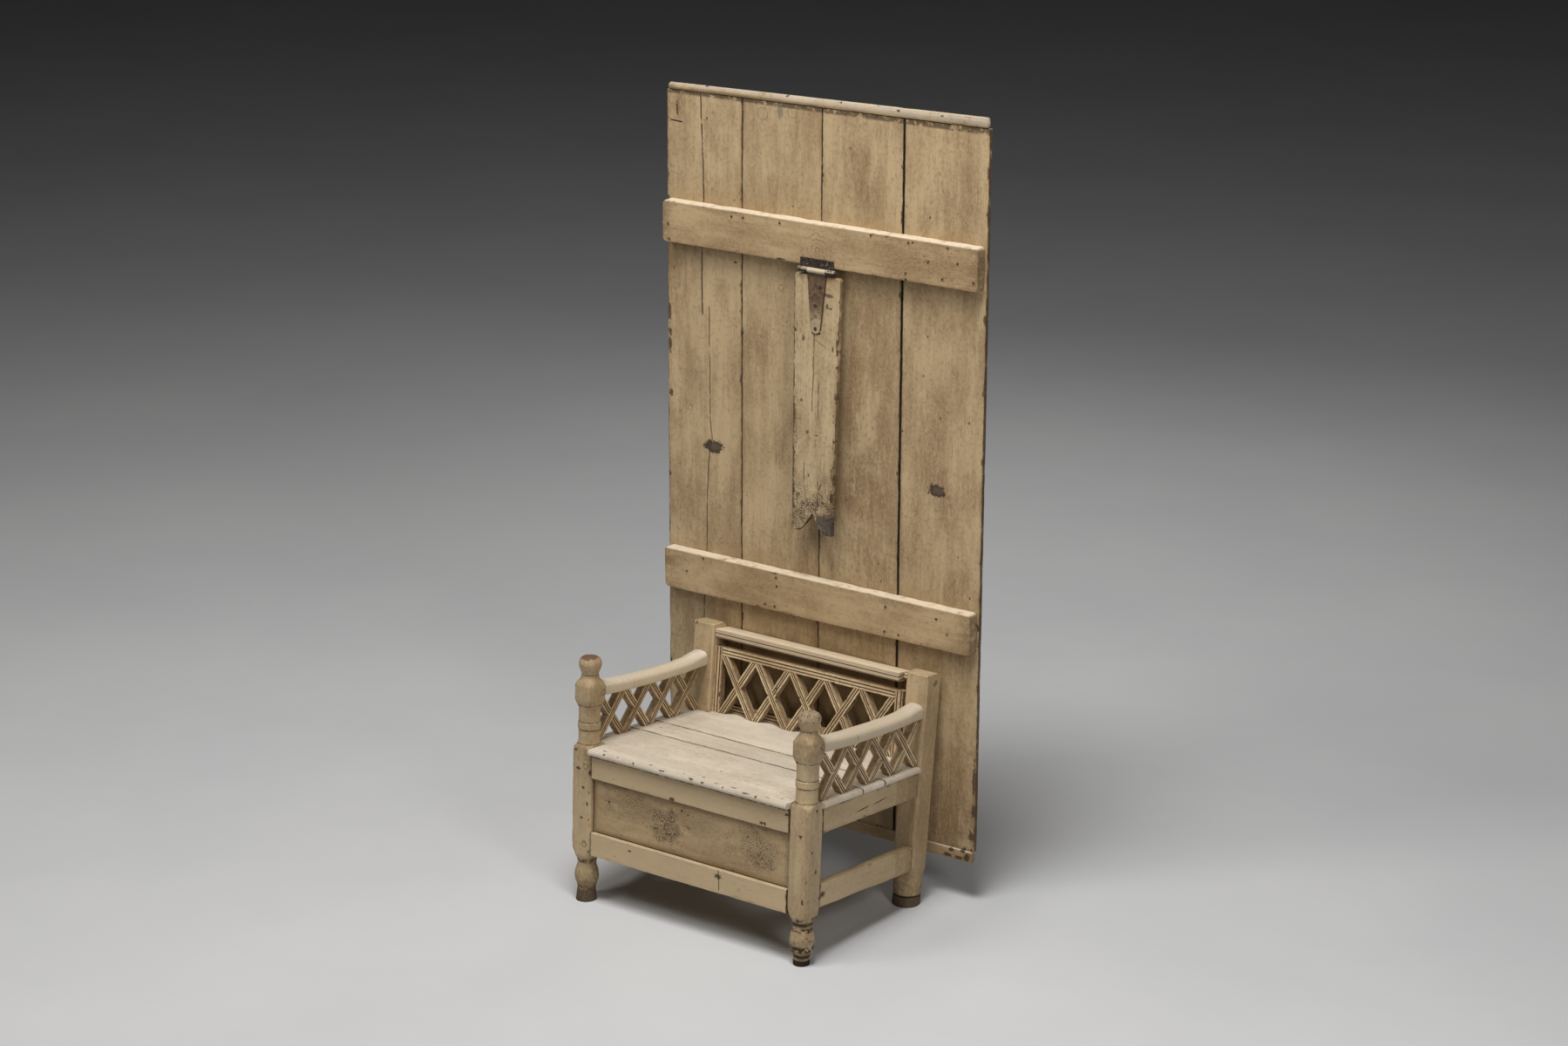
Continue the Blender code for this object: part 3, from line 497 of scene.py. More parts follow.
# %% [markdown]
# ## Old cream paint
# The paint began as one cream coat. Time gave it brown streaks along the grain, soft stains, fine
# brush lines, dark specks in clusters, crazing where it was thick, and chips at the edges that show
# dark wood. Each is a mask from noise or from the distance to an edge, and a blend towards a colour.
# We begin with the noises. They are shared by several layers, so that dirt, wear and relief agree.
# A point is near an edge when two of its three distances are small, so the middle one is the measure.


# %% Noises that the layers share
def paint_noises(coat, flat):
    """Sets a coat's noises, drawn out along the grain; flat is how much they change with depth."""
    coat.skin = coat.vector("MULTIPLY", coat.fibre, (1.0, 1.0, flat))
    coat.streaks = coat.cloud((3.2, 24.0, 24.0), 5.0, 0.62, coat.skin)
    coat.smears = coat.cloud((16.0, 90.0, 90.0), 5.0, 0.68, coat.skin)
    coat.patches = coat.cloud((4.5, 8.0, 8.0), 4.0, 0.6, coat.skin)
    coat.brush = coat.cloud((6.0, 190.0, 190.0), 4.0, 0.65, coat.skin)
    coat.mottle = coat.cloud(90.0, 5.0, 0.72, coat.skin)
    coat.grains = coat.cloud((120.0, 290.0, 290.0), 3.0, 0.7, coat.skin)
    mixed = coat.streaks * 0.20 + coat.smears * 0.30 + coat.mottle * 0.22 + coat.grains * 0.28
    coat.grime = mixed.within(0.38, 0.60)
    nearer, farther = coat.to_end.least(coat.to_side), coat.to_end.most(coat.to_side)
    coat.edge = nearer.most(farther.least(coat.to_face))


print("the noises are", nodes_added(trial, lambda: paint_noises(trial, flat=1.0)), "nodes")

# %% [markdown]
# The paint that is still there is cream, dirtied in long soft streaks with darker grains in them, paler
# where it was wiped, combed by the brush, and paler along its edges, partly rubbed and partly painted
# highlight.

# %% The coat, its stains and its brush lines
BUFF, BUFF_STAIN = (0.475, 0.358, 0.211), (0.30, 0.198, 0.101)


def stained_coat(coat, cream, stained, stain, rubbed_and_highlit_rims):
    """The colour of the paint that is still there, and a mask of where it is dirty."""
    pale = tuple(min(1.0, c * 1.16) for c in cream)
    brown = tuple(c * 0.62 for c in stained)
    dirty = coat.streaks * 0.24 + coat.patches * 0.46 + coat.smears * 0.16 + coat.mottle * 0.14
    dirty = dirty.within(0.44, 0.62) * stain
    colour = coat.blend(dirty * 0.78, cream, stained)
    colour = coat.blend(dirty * coat.grains.within(0.46, 0.64) * 0.8, colour, brown)
    wiped = (coat.patches * 0.5 + coat.streaks * 0.5).within(0.49, 0.38)
    colour = coat.blend(wiped * 0.6, colour, pale)
    colour = coat.blend(coat.brush.within(0.48, 0.70) * 0.24, colour, stained)
    colour = coat.blend(coat.brush.within(0.46, 0.30) * 0.22, colour, pale)
    colour = coat.blend(coat.mottle.within(0.50, 0.68) * 0.40, colour, stained)
    # Pale rims along the edges: rubbed paint and painted highlight.
    colour = coat.blend(coat.edge.within(0.0055, 0.0020) * rubbed_and_highlit_rims, colour, pale)
    beside = coat.edge.within(0.014, 0.0) * coat.patches.within(0.38, 0.58)
    return coat.blend(beside * 0.6, colour, stained), dirty


print("a coat is", nodes_added(trial, lambda: stained_coat(trial, BUFF, BUFF_STAIN, 0.6, 0.4)), "nodes")

# %% [markdown]
# Where the paint is lost, it went in many ways: dots and pepper in clusters, crazing between small
# islands, scratches along the grain, single nicks, chips from the edges and open seams between boards.
# Scattered cells give dots and islands, thin noise gives scratches, and ragged noise against the
# distance to the edge gives chips.


# %% Where paint is lost
def lost_paint(coat, specks=0.5, craze=0.0, chips=0.5, nicks=0.3, seams=0.0, crowd=0.0):
    """A mask of all the places where the paint has gone, in the shares that the piece has."""
    skin, waver = coat.skin, coat.mottle - 0.5
    near_edge = coat.edge.within(0.020, 0.003)
    clusters = coat.cloud(9.0, 3.0, 0.6, skin) + waver * 0.6 + near_edge * 0.08 - 0.03 + crowd
    dots = coat.cells(190.0, where=skin).within(0.38, 0.20) * clusters.within(0.58, 0.70) * specks
    pepper = coat.cells(400.0, where=skin).within(0.32, 0.12) * clusters.within(0.50, 0.66) * specks * 0.6
    islands = coat.cells(175.0, "DISTANCE_TO_EDGE", skin) + waver * 0.30
    crazed = islands.within(0.20, 0.05) * craze
    hairs = coat.cloud((30.0, 480.0, 480.0), 2.0, 0.5, skin).within(0.645, 0.70)
    scratched = hairs * clusters.within(0.40, 0.58) * specks * 0.8
    cell = coat.cells(30.0, where=coat.vector("MULTIPLY", skin, (0.6, 1.0, 1.0)))
    chance = coat.parts(cell.pick("Color"))[0].within(1.0 - nicks, 1.02 - nicks)
    nicked = (cell + waver * 0.36 + (coat.grains - 0.5) * 0.16).within(0.085, 0.045) * chance
    ragged = coat.cloud((24.0, 60.0, 60.0), 4.0, 0.7)
    chipped = ((ragged - (0.67 - 0.12 * chips)) * 0.08 - coat.edge).within(-0.0004, 0.0008)
    seam = (coat.to_side + (0.52 - ragged) * 0.012).within(0.0034, 0.0010) * seams
    return gather([dots, pepper, crazed, scratched, chipped, nicked, seam])


print("lost paint is", nodes_added(trial, lambda: lost_paint(trial)), "nodes")

# %% [markdown]
# A paint is a finish that keeps its colour, roughness and height while marks are blended in, one after
# another. Bare wood is rougher than paint and lies deeper, so a mark changes all three together.

# %% A paint that takes marks
WOOD, SHEEN, MARK_ROUGHNESS = (0.042, 0.026, 0.015), 0.25, 0.40


class OldPaint(Finish):
    """A finish of old cream paint, laid in a state of its own and then marked."""

    def lay(self, cream, stained, wood=WOOD, stain=0.6, rubbed_and_highlit_rims=0.4, flat=0.05, **losses):
        paint_noises(self, flat)
        coat, dirty = stained_coat(self, cream, stained, stain, rubbed_and_highlit_rims)
        lost = lost_paint(self, **losses)
        bare = self.blend(self.mottle.within(0.42, 0.60), wood, tuple(c * 2.3 for c in wood))
        self.colour = self.blend(lost * 0.92, coat, bare)
        self.rough = 0.42 + 0.16 * (self.mottle - 0.5) + 0.50 * lost + 0.10 * dirty
        self.height = 0.5 + 0.17 * self.brush + 0.20 * self.mottle - 0.7 * lost

    def mark(self, mask, tint, share, dent=0.0):
        """Blends a mark into the paint by this share, roughens it, and sinks it by dent."""
        self.colour = self.blend(mask * share, self.colour, tint)
        self.rough = self.rough + MARK_ROUGHNESS * mask * share
        self.height = self.height - mask * dent

    def close(self, depth, sheen=SHEEN):
        """Seals the paint; depth is how deep its relief is, in metres."""
        self.seal(self.colour, self.rough, self.height, depth, sheen)


print("bare wood is", WOOD, "and the paint over it has a sheen of", SHEEN)

# %% [markdown]
# ## Marks in their places
# Knots, splits, rubbed patches and knocks are where they are, so they are drawn by place: a blot is the
# distance to a point, measured in its own sizes and frayed by noise, and a split is the distance to
# a line. Both read the place on the piece, so they stay put when the top tilts or the leg swings.

# %% Blots, splits and rings
FROM_FRONT = (1, 0, 1)
DEEP, SHALLOW = 50, 20


def blot(coat, centre, size, ragged=0.5, scale=90.0, soft=0.45):
    """A mask for one mark: 1 in the middle of a ragged blot of this size, 0 outside."""
    reach = coat.vector("DIVIDE", coat.vector("SUBTRACT", coat.place, tuple(centre)), tuple(size))
    return (coat.length(reach) + coat.fray(scale) * (ragged * 2)).within(1.15, 1.15 - soft)


def split(coat, start, end, width, wobble=0.006, keep=(1, 1, 1)):
    """A mask for a crack from start to end, which wanders by up to wobble; keep 0 looks along an axis."""
    start, run = (Vector(p) * Vector(keep) for p in (start, Vector(end) - Vector(start)))
    drift = coat.node("ShaderNodeCombineXYZ", None, {0: coat.fray(14.0) * wobble})
    seen = coat.vector("ADD", coat.vector("MULTIPLY", coat.place, keep), drift)
    off = coat.vector("SUBTRACT", seen, tuple(start))
    share = coat.vector("DOT_PRODUCT", off, tuple(run / run.length_squared), out="Value")
    inputs = {0: tuple(run), 3: share.most(0.0).least(1.0)}
    along = coat.node("ShaderNodeVectorMath", {"operation": "SCALE"}, inputs)
    return coat.length(coat.vector("SUBTRACT", off, along)).within(width, width * 0.35)


def ring(coat, centre, radius, width):
    """A mask for a thin ring round a point."""
    away = coat.length(coat.vector("SUBTRACT", coat.place, tuple(centre)))
    return abs(away + coat.fray(60.0) * radius * 0.4 - radius).within(width, width * 0.3)


seat_edge = on_bench(0, 0, 466)
print("a blot is", nodes_added(trial, lambda: blot(trial, seat_edge, mm(5, 5, 5))), "nodes")
bpy.data.materials.remove(trial.material)

# %% [markdown]
# ## The bench's frame
# Posts and rails wear the plain coat: buff cream, rubbed at the corners, with specks where they were
# knocked and more dirt low down. The rails between the front posts, and those at the sides below the
# seat, lie in shade, so one coat is laid over all and these places are lightened with painted light.

# %% Posts, rails and stretchers: the coat
RAIL_PAINTED_LIGHT = (0.62, 0.480, 0.300)
frame_paint = OldPaint("frame_paint")
x, y, z = frame_paint.parts(frame_paint.place)
low_dirt = z.within(0.15, 0.01)
frame_paint.lay(BUFF, BUFF_STAIN, stain=0.55, flat=1.0,
                specks=0.55 + 0.45 * low_dirt, chips=1.0 + 0.5 * low_dirt, nicks=0.35)
rail_start, rail_end = (corner.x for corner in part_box("front_seat_rail"))
between = x.within(rail_start, rail_start + 0.002) * x.within(rail_end, rail_end - 0.002)
sides = y.within(-0.262, -0.258) * y.within(0.165, 0.160) * z.within(0.47, 0.46)
# Painted light: the rails are lightened to offset the shade they lie in under the seat.
frame_paint.mark(between * 0.62 + sides * (1 - between) * 0.30, RAIL_PAINTED_LIGHT, share=1.0)
print("front rails run from", round(rail_start, 3), "to", round(rail_end, 3))

# %% [markdown]
# Dirt stays where a cloth doesn't reach: where rails meet posts and in the turned rings. Under the
# seat's lip a dark band is painted shade. These are bands at known heights up the posts, broken up by
# noise. The finials' tops are bare where hands rested, redder on the left and greyer on the right.

# %% Posts and rails: joints, rings and finials
RING_HEIGHTS, LIP_HEIGHT = (0.471, 0.512, 0.534, 0.584, 0.672), 0.446
RING_DIRT, LEFT_FINIAL, RIGHT_FINIAL = (0.10, 0.066, 0.040), (0.13, 0.062, 0.038), (0.30, 0.235, 0.165)
to_left, to_right = x.within(0.0, -0.01), x.within(0.0, 0.01)
front, rear = y.within(-0.16, -0.17), y.within(0.10, 0.11)
tall = z + (y - BENCH_FRONT - LEAN_FRONT * z) * (RECLINE * 0.95)
rub = frame_paint.cloud(70.0, 4.0, 0.65, frame_paint.place)
fine_rub = frame_paint.cloud(160.0, 4.0, 0.65, frame_paint.place)
grit, fine_grit = rub * 0.6 + fine_rub * 0.4, rub * 0.5 + fine_rub * 0.5
joint = (frame_paint.to_end + (0.5 - rub) * 0.010).within(0.0036, 0.0010) * z.within(0.50, 0.49)
frame_paint.mark(joint, WOOD, share=0.75, dent=0.4)
rings = gather([abs(tall - height).within(0.0032, 0.0008) for height in RING_HEIGHTS])
rings = rings * rub.within(0.36, 0.54) * front * z.within(0.45, 0.455)
frame_paint.mark(rings, RING_DIRT, share=0.75, dent=0.3)
# Painted shade: a dark band under the seat's lip, broken up by noise.
under_lip_shade = abs(tall - LIP_HEIGHT).within(0.008, 0.0025) * between
frame_paint.mark(under_lip_shade * grit.within(0.42, 0.52) * front, WOOD, share=0.85, dent=0.4)
finial_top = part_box("front_post_left")[1].z
bared = (z + (rub - 0.5) * 0.016 - finial_top).within(-0.010, -0.004) * front
frame_paint.mark(bared * to_left, LEFT_FINIAL, share=0.9, dent=0.4)
bared = (z + (rub - 0.5) * 0.060 - finial_top).within(-0.034, -0.014) * front * to_right
frame_paint.mark(bared, RIGHT_FINIAL, share=0.55, dent=0.3)
frame_paint.mark(bared * fine_rub.within(0.53, 0.60), WOOD, share=0.8, dent=0.3)
print("dirt in", len(RING_HEIGHTS), "rings, finials bare at", round(finial_top, 3))

# %% [markdown]
# The feet are the dirtiest, because of the broom and the wet floor: one front foot has a black tip,
# and the right rear one stands on a dark worn disc. The turned bands of the right front foot have lost
# their paint. The outer side of the right rear post is browned by dirt and by painted shade, and one
# square block is browner than the rest.

# %% Posts: feet and brown places
FOOT_DIRT, LEFT_TIP = (0.13, 0.085, 0.046), (0.070, 0.047, 0.032)
BLACK_TIP, REAR_DISC = (0.020, 0.015, 0.013), (0.085, 0.060, 0.040)
OUTER_DIRT_AND_SHADE, BLOCK_BROWN = (0.30, 0.195, 0.098), (0.25, 0.168, 0.090)
frame_paint.mark(low_dirt * fine_grit.within(0.40, 0.58), FOOT_DIRT, share=0.7)
tip = (z + (fine_rub - 0.5) * 0.14).within(0.052, 0.030)
frame_paint.mark(tip * to_left * front, LEFT_TIP, share=0.85, dent=0.4)
collar = abs(z - 0.122).within(0.012, 0.003) * fine_grit.within(0.47, 0.55)
frame_paint.mark(collar * to_left * front, WOOD, share=0.8, dent=0.4)
# The right rear post's outer side: brown dirt together with painted shade.
outer = x.within(0.392, 0.402) * rear * z.within(0.66, 0.60)
frame_paint.mark(outer * rub.within(0.25, 0.60), OUTER_DIRT_AND_SHADE, share=0.45)
block = tall.within(0.585, 0.60) * tall.within(0.668, 0.655) * front * to_right
frame_paint.mark(block * rub.within(0.30, 0.62), BLOCK_BROWN, share=0.60)
frame_paint.mark(z.within(0.0175, 0.0145) * front * to_right, BLACK_TIP, share=0.97)
frame_paint.mark(z.within(0.033, 0.027) * rear, REAR_DISC, share=0.85)
frame_paint.mark(abs(z - 0.031).within(0.0036, 0.0016) * rear, WOOD, share=0.95, dent=0.5)
# Each band of the right foot: its height, half its width, and the noise above which it is bare.
FOOT_BANDS = ((0.136, 0.009, 0.49), (0.122, 0.009, 0.40), (0.105, 0.009, 0.48),
              (0.080, 0.012, 0.55), (0.050, 0.014, 0.45), (0.028, 0.009, 0.42))
scuff = gather([abs(z - height).within(width, width * 0.4) * grit.within(bare, bare + 0.05)
                for height, width, bare in FOOT_BANDS])
frame_paint.mark(scuff * front * to_right, WOOD, share=0.92, dent=0.5)
print("the right front foot is bare in", len(FOOT_BANDS), "bands")

# %% [markdown]
# Knocks have no order, so each is a small blot at its own place on the bench. A short crack runs
# through a knot in the bottom rail, and faint rings show where pegs hold the joints.

# %% Posts and rails: knocks, crack and pegs
# Each knock, in millimetres: to the right, behind the front, up the posts, its half width and half height.
KNOCKS = (
    (-54, 3, 382, 9, 6), (-9, 3, 375, 6, 4), (250, 3, 386, 6, 5), (262, 3, 386, 5, 5),
    (109, 3, 197, 12, 7), (407, 82, 199, 13, 9), (362, 0, 473, 5, 9), (383, 0, 379, 5, 6),
    (396, 0, 194, 4, 8), (410, 37, 450, 5, 6), (410, 39, 276, 4, 7), (-345, 3, 392, 5, 9),
    (334, 3, 430, 6, 5), (-385, 0, 400, 7, 5), (-366, 0, 345, 5, 5), (-395, 0, 452, 4, 5),
    (-200, 3, 195, 6, 3), (410, 20, 335, 3, 4), (405, 250, 405, 26, 2), (405, 330, 410, 30, 2),
    (-372, 0, 255, 5, 4), (-352, 0, 300, 4, 6),
)
PEGS = ((-359, 0, 409), (-361, 0, 178), (410, 52, 628), (-342, 50, 621))
knocks = gather([blot(frame_paint, on_bench(u, v, n), mm(wide, wide, tall_by), ragged=1.5, scale=230.0)
                 for u, v, n, wide, tall_by in KNOCKS])
frame_paint.mark(knocks, WOOD, share=0.88, dent=0.5)
crack = split(frame_paint, on_bench(109, 3, 216), on_bench(113, 3, 158), width=0.0024)
frame_paint.mark(crack, WOOD, share=0.8, dent=0.5)
pegs = gather([ring(frame_paint, on_bench(*peg), radius=0.0080, width=0.0022) for peg in PEGS])
frame_paint.mark(pegs * fine_rub.within(0.36, 0.50), WOOD, share=0.6, dent=0.4)
frame_paint.close(depth=0.0012)
for node in nodes_of("frame_paint"):
    dress(node, frame_paint, wander=0.0070 if "stretcher" in node else 0.0010, nick=0.003)

# %% [markdown]
# ## Seat and arms
# Hands, skirts and cloths have polished these, so they are paler and smoother than the frame. Below
# its top each arm is painted browner as shade, and the right arm's top is darker from hands.

# %% Seat boards and arms: the coat
ARM_SIDE_SHADE, HANDLED = (0.54, 0.425, 0.270), (0.46, 0.375, 0.265)
worn_paint = OldPaint("worn_paint")
x, y, z = worn_paint.parts(worn_paint.place)
on_seat = z.within(0.52, 0.51)
behind_nosing = y.within(BENCH_FRONT + 0.06, BENCH_FRONT + 0.08)
worn_paint.lay((0.69, 0.615, 0.505), (0.52, 0.425, 0.310), stain=0.5, specks=0.14,
               chips=0.30 * on_seat, nicks=0.10, seams=0.9 * on_seat * behind_nosing)
through, half_through = worn_paint.parts(worn_paint.grain)[2], worn_paint.parts(worn_paint.half)[2]
below_top = (through - half_through).within(-0.006, -0.018)
# Painted shade: the arms' sides below their tops are tinted warmer and browner.
worn_paint.mark(below_top * (1 - on_seat), ARM_SIDE_SHADE, share=0.55)
worn_paint.mark((1 - on_seat) * x.within(0.30, 0.31), HANDLED, share=0.40)
print(len(nodes_of("worn_paint")), "seat boards and arms share the worn paint")

# %% [markdown]
# The seat's front edge has lost flakes of paint, its boards have soft smudges, and the joints between
# them are dark and ragged. One crack runs in from the right end, and the right arm has a short tick.

# %% Seat boards and arms: flakes, smudges and cracks
SEAT_TOP, NOSING, NOSING_DEPTH, SMUDGE_DEPTH = 466, 463, 9, 30
FLAKE_BROWN, SMUDGE_BROWN = (0.10, 0.066, 0.040), (0.45, 0.35, 0.235)
# Each flake, in millimetres: to the right, behind the front, its half width and half depth.
FLAKES = (
    (-130, 3, 7, 4), (99, 1, 8, 3), (156, 4, 13, 4), (270, 0, 9, 3), (20, -11, 9, 3), (-240, -7, 5, 3),
    (-18, 6, 5, 2), (205, -9, 14, 3), (305, 20, 5, 3), (-300, 12, 9, 4), (-285, -10, 5, 3),
    (60, -12, 6, 2), (128, -10, 4, 3), (-80, -11, 10, 2), (-180, -12, 4, 3), (240, -11, 4, 4),
)
# Each smudge: the same four, and its share.
SMUDGES = ((-150, 150, 110, 60, 0.6), (-20, 190, 80, 50, 0.5), (-150, 230, 70, 30, 0.6),
           (120, 100, 110, 60, 0.45), (300, 60, 60, 60, 0.6), (-300, 300, 90, 60, 0.5))
flakes = gather([blot(worn_paint, on_bench(u, v, NOSING), mm(wide, deep, NOSING_DEPTH), 1.1, 170.0)
                 for u, v, wide, deep in FLAKES])
worn_paint.mark(flakes, FLAKE_BROWN, share=0.9, dent=0.5)
for u, v, wide, deep, share in SMUDGES:
    size = mm(wide, deep, SMUDGE_DEPTH)
    smudge = blot(worn_paint, on_bench(u, v, SEAT_TOP), size, ragged=0.9, scale=26.0, soft=0.9)
    worn_paint.mark(smudge * worn_paint.grime, SMUDGE_BROWN, share)
tick = split(worn_paint, on_bench(406, 212, 611), on_bench(406, 213, 627), width=0.0022, wobble=0.002)
crack = split(worn_paint, on_bench(160, 391, SEAT_TOP), on_bench(410, 390, SEAT_TOP), width=0.0020)
worn_paint.mark(tick.most(crack * 0.8), WOOD, share=0.8, dent=0.5)
worn_paint.close(depth=0.0008, sheen=0.4)
for node in nodes_of("worn_paint"):
    dress(node, worn_paint, wander=0.0010, nick=0.0015)

# %% [markdown]
# ## Front panel
# Thick paint on thin wood that moves: it has crazed into small islands with dark gaps between, worst
# in two places, so the crazing of the common layers is driven by blots and a faint field.

# %% Panel
PANEL_BACK, PANEL_WOOD, PANEL_EDGE_SHADE = 16, (0.050, 0.034, 0.020), (0.15, 0.10, 0.055)
crazed_paint = OldPaint("crazed_paint")
# Each crazed place: to the right, up, its half width and half height in millimetres, and its share.
WORST = ((-75, 300, 75, 55, 0.95), (-95, 270, 40, 36, 0.9), (225, 305, 125, 70, 0.60),
         (255, 280, 60, 45, 0.80), (-190, 325, 170, 60, 0.50), (30, 320, 140, 50, 0.35))
PITS = ((-285, 318, 4), (-30, 352, 4), (-9, 344, 3))
patches = gather([
    blot(crazed_paint, on_bench(u, PANEL_BACK, n), mm(wide, DEEP, tall_by), 1.2, 30.0, 0.8) * share
    for u, n, wide, tall_by, share in WORST])
crazed_paint.lay((0.48, 0.348, 0.194), (0.32, 0.212, 0.106), PANEL_WOOD, stain=0.75, specks=0.8,
                 craze=patches.most(0.14), chips=0.3, nicks=0.25, crowd=0.05 * patches)
to_frame = crazed_paint.to_end.least(crazed_paint.to_side)
# Painted shade: a band along the frame is darkened where the rails shade the panel; the thin line at the
# very edge is the dark joint.
crazed_paint.mark(to_frame.within(0.022, 0.0), PANEL_EDGE_SHADE, share=0.5)
crazed_paint.mark(to_frame.within(0.004, 0.001), WOOD, share=0.85)
pits = gather([blot(crazed_paint, on_bench(u, PANEL_BACK, n), mm(wide, wide, wide), 0.6, 160.0)
               for u, n, wide in PITS])
crazed_paint.mark(pits, WOOD, share=0.85, dent=0.5)
crazed_paint.close(depth=0.0016)
dress("front_panel", crazed_paint)

# %% [markdown]
# ## Lattice
# The sticks have two reeds cut along them, and dirt has stayed in the grooves as dark lines. The
# paint here is yellower, because it was never rubbed clean, and dust and painted shade have browned
# the faces between the sticks. The foot rail behind them lies in the deepest shade, so it gets the
# same paint in a darker state, which is painted shade.

# %% Lattice sticks, stiles and rails
GROOVE_IN, ARRIS_IN = 0.0074, 0.0009
SIDE_DIRT_AND_SHADE, GROOVE_DARK, ARRIS_BROWN = (0.13, 0.082, 0.043), (0.032, 0.020, 0.012), (0.24, 0.150, 0.075)


def reeded_paint(name, cream, depth_dirt_and_shade):
    """Paint on reeded sticks, with dark grooves, and dirt and painted shade on the faces that look at one
    another.
    """
    coat = OldPaint(name)
    coat.lay(cream, (0.42, 0.28, 0.145), stain=0.6, specks=0.8, chips=0.55, nicks=0.40, flat=1.0)
    rubbed = coat.cloud(45.0, 3.0, 0.6)
    across, through = coat.to_side, coat.to_face
    # The sides of the sticks are browned by dirt and by painted shade.
    sides = through.within(0.0012, 0.0065) * (0.55 + 0.45 * coat.grime)
    coat.mark(sides, SIDE_DIRT_AND_SHADE, share=depth_dirt_and_shade)
    groove = abs(across - GROOVE_IN).within(0.0026, 0.0011) * rubbed.within(0.20, 0.40)
    coat.mark(groove * through.within(0.004, 0.002), GROOVE_DARK, share=0.92)
    coat.mark(across.within(0.0012, 0.0002), ARRIS_BROWN, share=0.35)
    arris = abs(across - ARRIS_IN).within(0.0010, 0.0003) * rubbed.within(0.48, 0.58)
    coat.mark(arris, WOOD, share=0.8)
    coat.close(depth=0.0008)
    return coat


lattice_paint = reeded_paint("lattice_paint", (0.72, 0.555, 0.345), 0.75)
# The foot rail's darker cream is painted shade.
shaded_foot_paint = reeded_paint("lattice_foot_shade_paint", (0.30, 0.215, 0.125), 0.85)
for node in nodes_of("lattice_paint"):
    dress(node, shaded_foot_paint if node == "lattice_foot_rail" else lattice_paint, step=0)

# %% [markdown]
# ## Table boards
# Four wide pine boards. Brown has crept into the paint in soft upright streaks. The back was never
# handled, so the marks below are kept to the front by a mask. Dust has settled above the battens, and
# a band of painted shade lies under them.

# %% Table boards: the coat and the dust at the battens
CREAM, STAINED = (0.495, 0.368, 0.214), (0.29, 0.187, 0.094)
DUST, UNDER_BATTEN_SHADE = (0.40, 0.285, 0.150), (0.21, 0.135, 0.07)
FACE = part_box("table_board_1")[0].y
board_paint = OldPaint("board_paint")
board_paint.lay(CREAM, STAINED, stain=0.75, specks=0.5, chips=0.9, nicks=0.14, seams=0.9)
x, y, z = board_paint.parts(board_paint.place)
facing = y.within(FACE + 0.007, FACE + 0.005)
for batten in ("batten_upper", "batten_lower"):
    under, shelf = (corner.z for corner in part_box(batten))
    dust = (z - shelf).within(0.040, 0.0) * (z - shelf).within(-0.004, 0.0)
    board_paint.mark(dust * facing, DUST, share=0.30)
    # Painted shade: a band under each batten, broken up by noise.
    below_batten_shade = (under - z).within(0.05, 0.0) * (under - z).within(-0.004, 0.0)
    board_paint.mark(below_batten_shade * board_paint.grime * facing, UNDER_BATTEN_SHADE, share=0.5)
    print(batten, "lies from", round(under, 3), "to", round(shelf, 3))

# %% [markdown]
# The brown stains are wide soft blots that let the grime show more; two of them, right of the prop leg, are
# painted shadow of the leg. Small chips follow the outer edges.

# %% Table boards: stains and chips
STAIN_AND_SHADOW_BROWN, CHIP_BROWN, GREY_SPOT = (0.245, 0.155, 0.078), (0.085, 0.056, 0.036), (0.17, 0.145, 0.125)


def on_top(across, height, face=FACE):
    """A place on the top, from millimetres to the right of the middle and above the floor."""
    return Vector((across / 1000, face, height / 1000))


# Each stain: to the right, above the floor, its half width and half height in millimetres, its share.
STAINS_AND_LEG_SHADOW = (
    (116, 2073, 60, 80, 0.7), (109, 1997, 80, 60, 0.8), (423, 2203, 80, 60, 0.8), (347, 1956, 40, 80, 0.7),
    (-502, 2196, 30, 60, 1.0), (-130, 1967, 90, 80, 0.6), (-360, 2063, 35, 50, 0.5),
    (-136, 1213, 36, 70, 0.9), (143, 1100, 120, 260, 0.8), (395, 1395, 60, 100, 0.8),
    (425, 1165, 45, 130, 0.9), (380, 1260, 50, 90, 0.6), (170, 1600, 60, 150, 0.5),
    (-470, 1060, 70, 160, 0.5), (-60, 960, 110, 110, 0.6), (470, 700, 75, 260, 0.6),
    (470, 930, 60, 120, 0.6), (444, 243, 100, 110, 1.0), (431, 174, 110, 60, 1.0), (490, 350, 60, 160, 0.7),
    (200, 900, 110, 110, 0.7), (-230, 2020, 40, 160, 0.5), (330, 1700, 70, 110, 0.5),
    # The first two on the next row are painted shadow of the prop leg on the boards, with grime.
    (108, 1420, 34, 330, 0.9), (112, 1150, 40, 110, 0.9), (215, 1300, 24, 300, 0.5),
    (-500, 1640, 60, 170, 0.5), (-220, 1480, 60, 200, 0.4), (480, 2060, 50, 90, 0.5),
)
# Each chip: the same four, without a share.
CHIPS = (
    (-536, 1568, 6, 30), (-534, 1509, 7, 12), (-535, 1470, 6, 24), (-531, 1327, 8, 11), (536, 368, 6, 50),
    (537, 276, 8, 20), (540, 1302, 5, 10), (-505, 2160, 4, 22), (530, 200, 9, 16), (538, 1700, 5, 16),
    (-300, 1745, 5, 4), (539, 2100, 4, 18), (-538, 1900, 4, 12),
)
for across, height, wide, tall_by, share in STAINS_AND_LEG_SHADOW:
    size = mm(wide, DEEP, tall_by)
    stain = blot(board_paint, on_top(across, height), size, ragged=1.0, scale=16.0, soft=0.95)
    board_paint.mark(stain * board_paint.grime * facing, STAIN_AND_SHADOW_BROWN, share * 0.85)
chips = gather([blot(board_paint, on_top(across, height), mm(wide, SHALLOW, tall_by), 1.0, 130.0)
                for across, height, wide, tall_by in CHIPS])
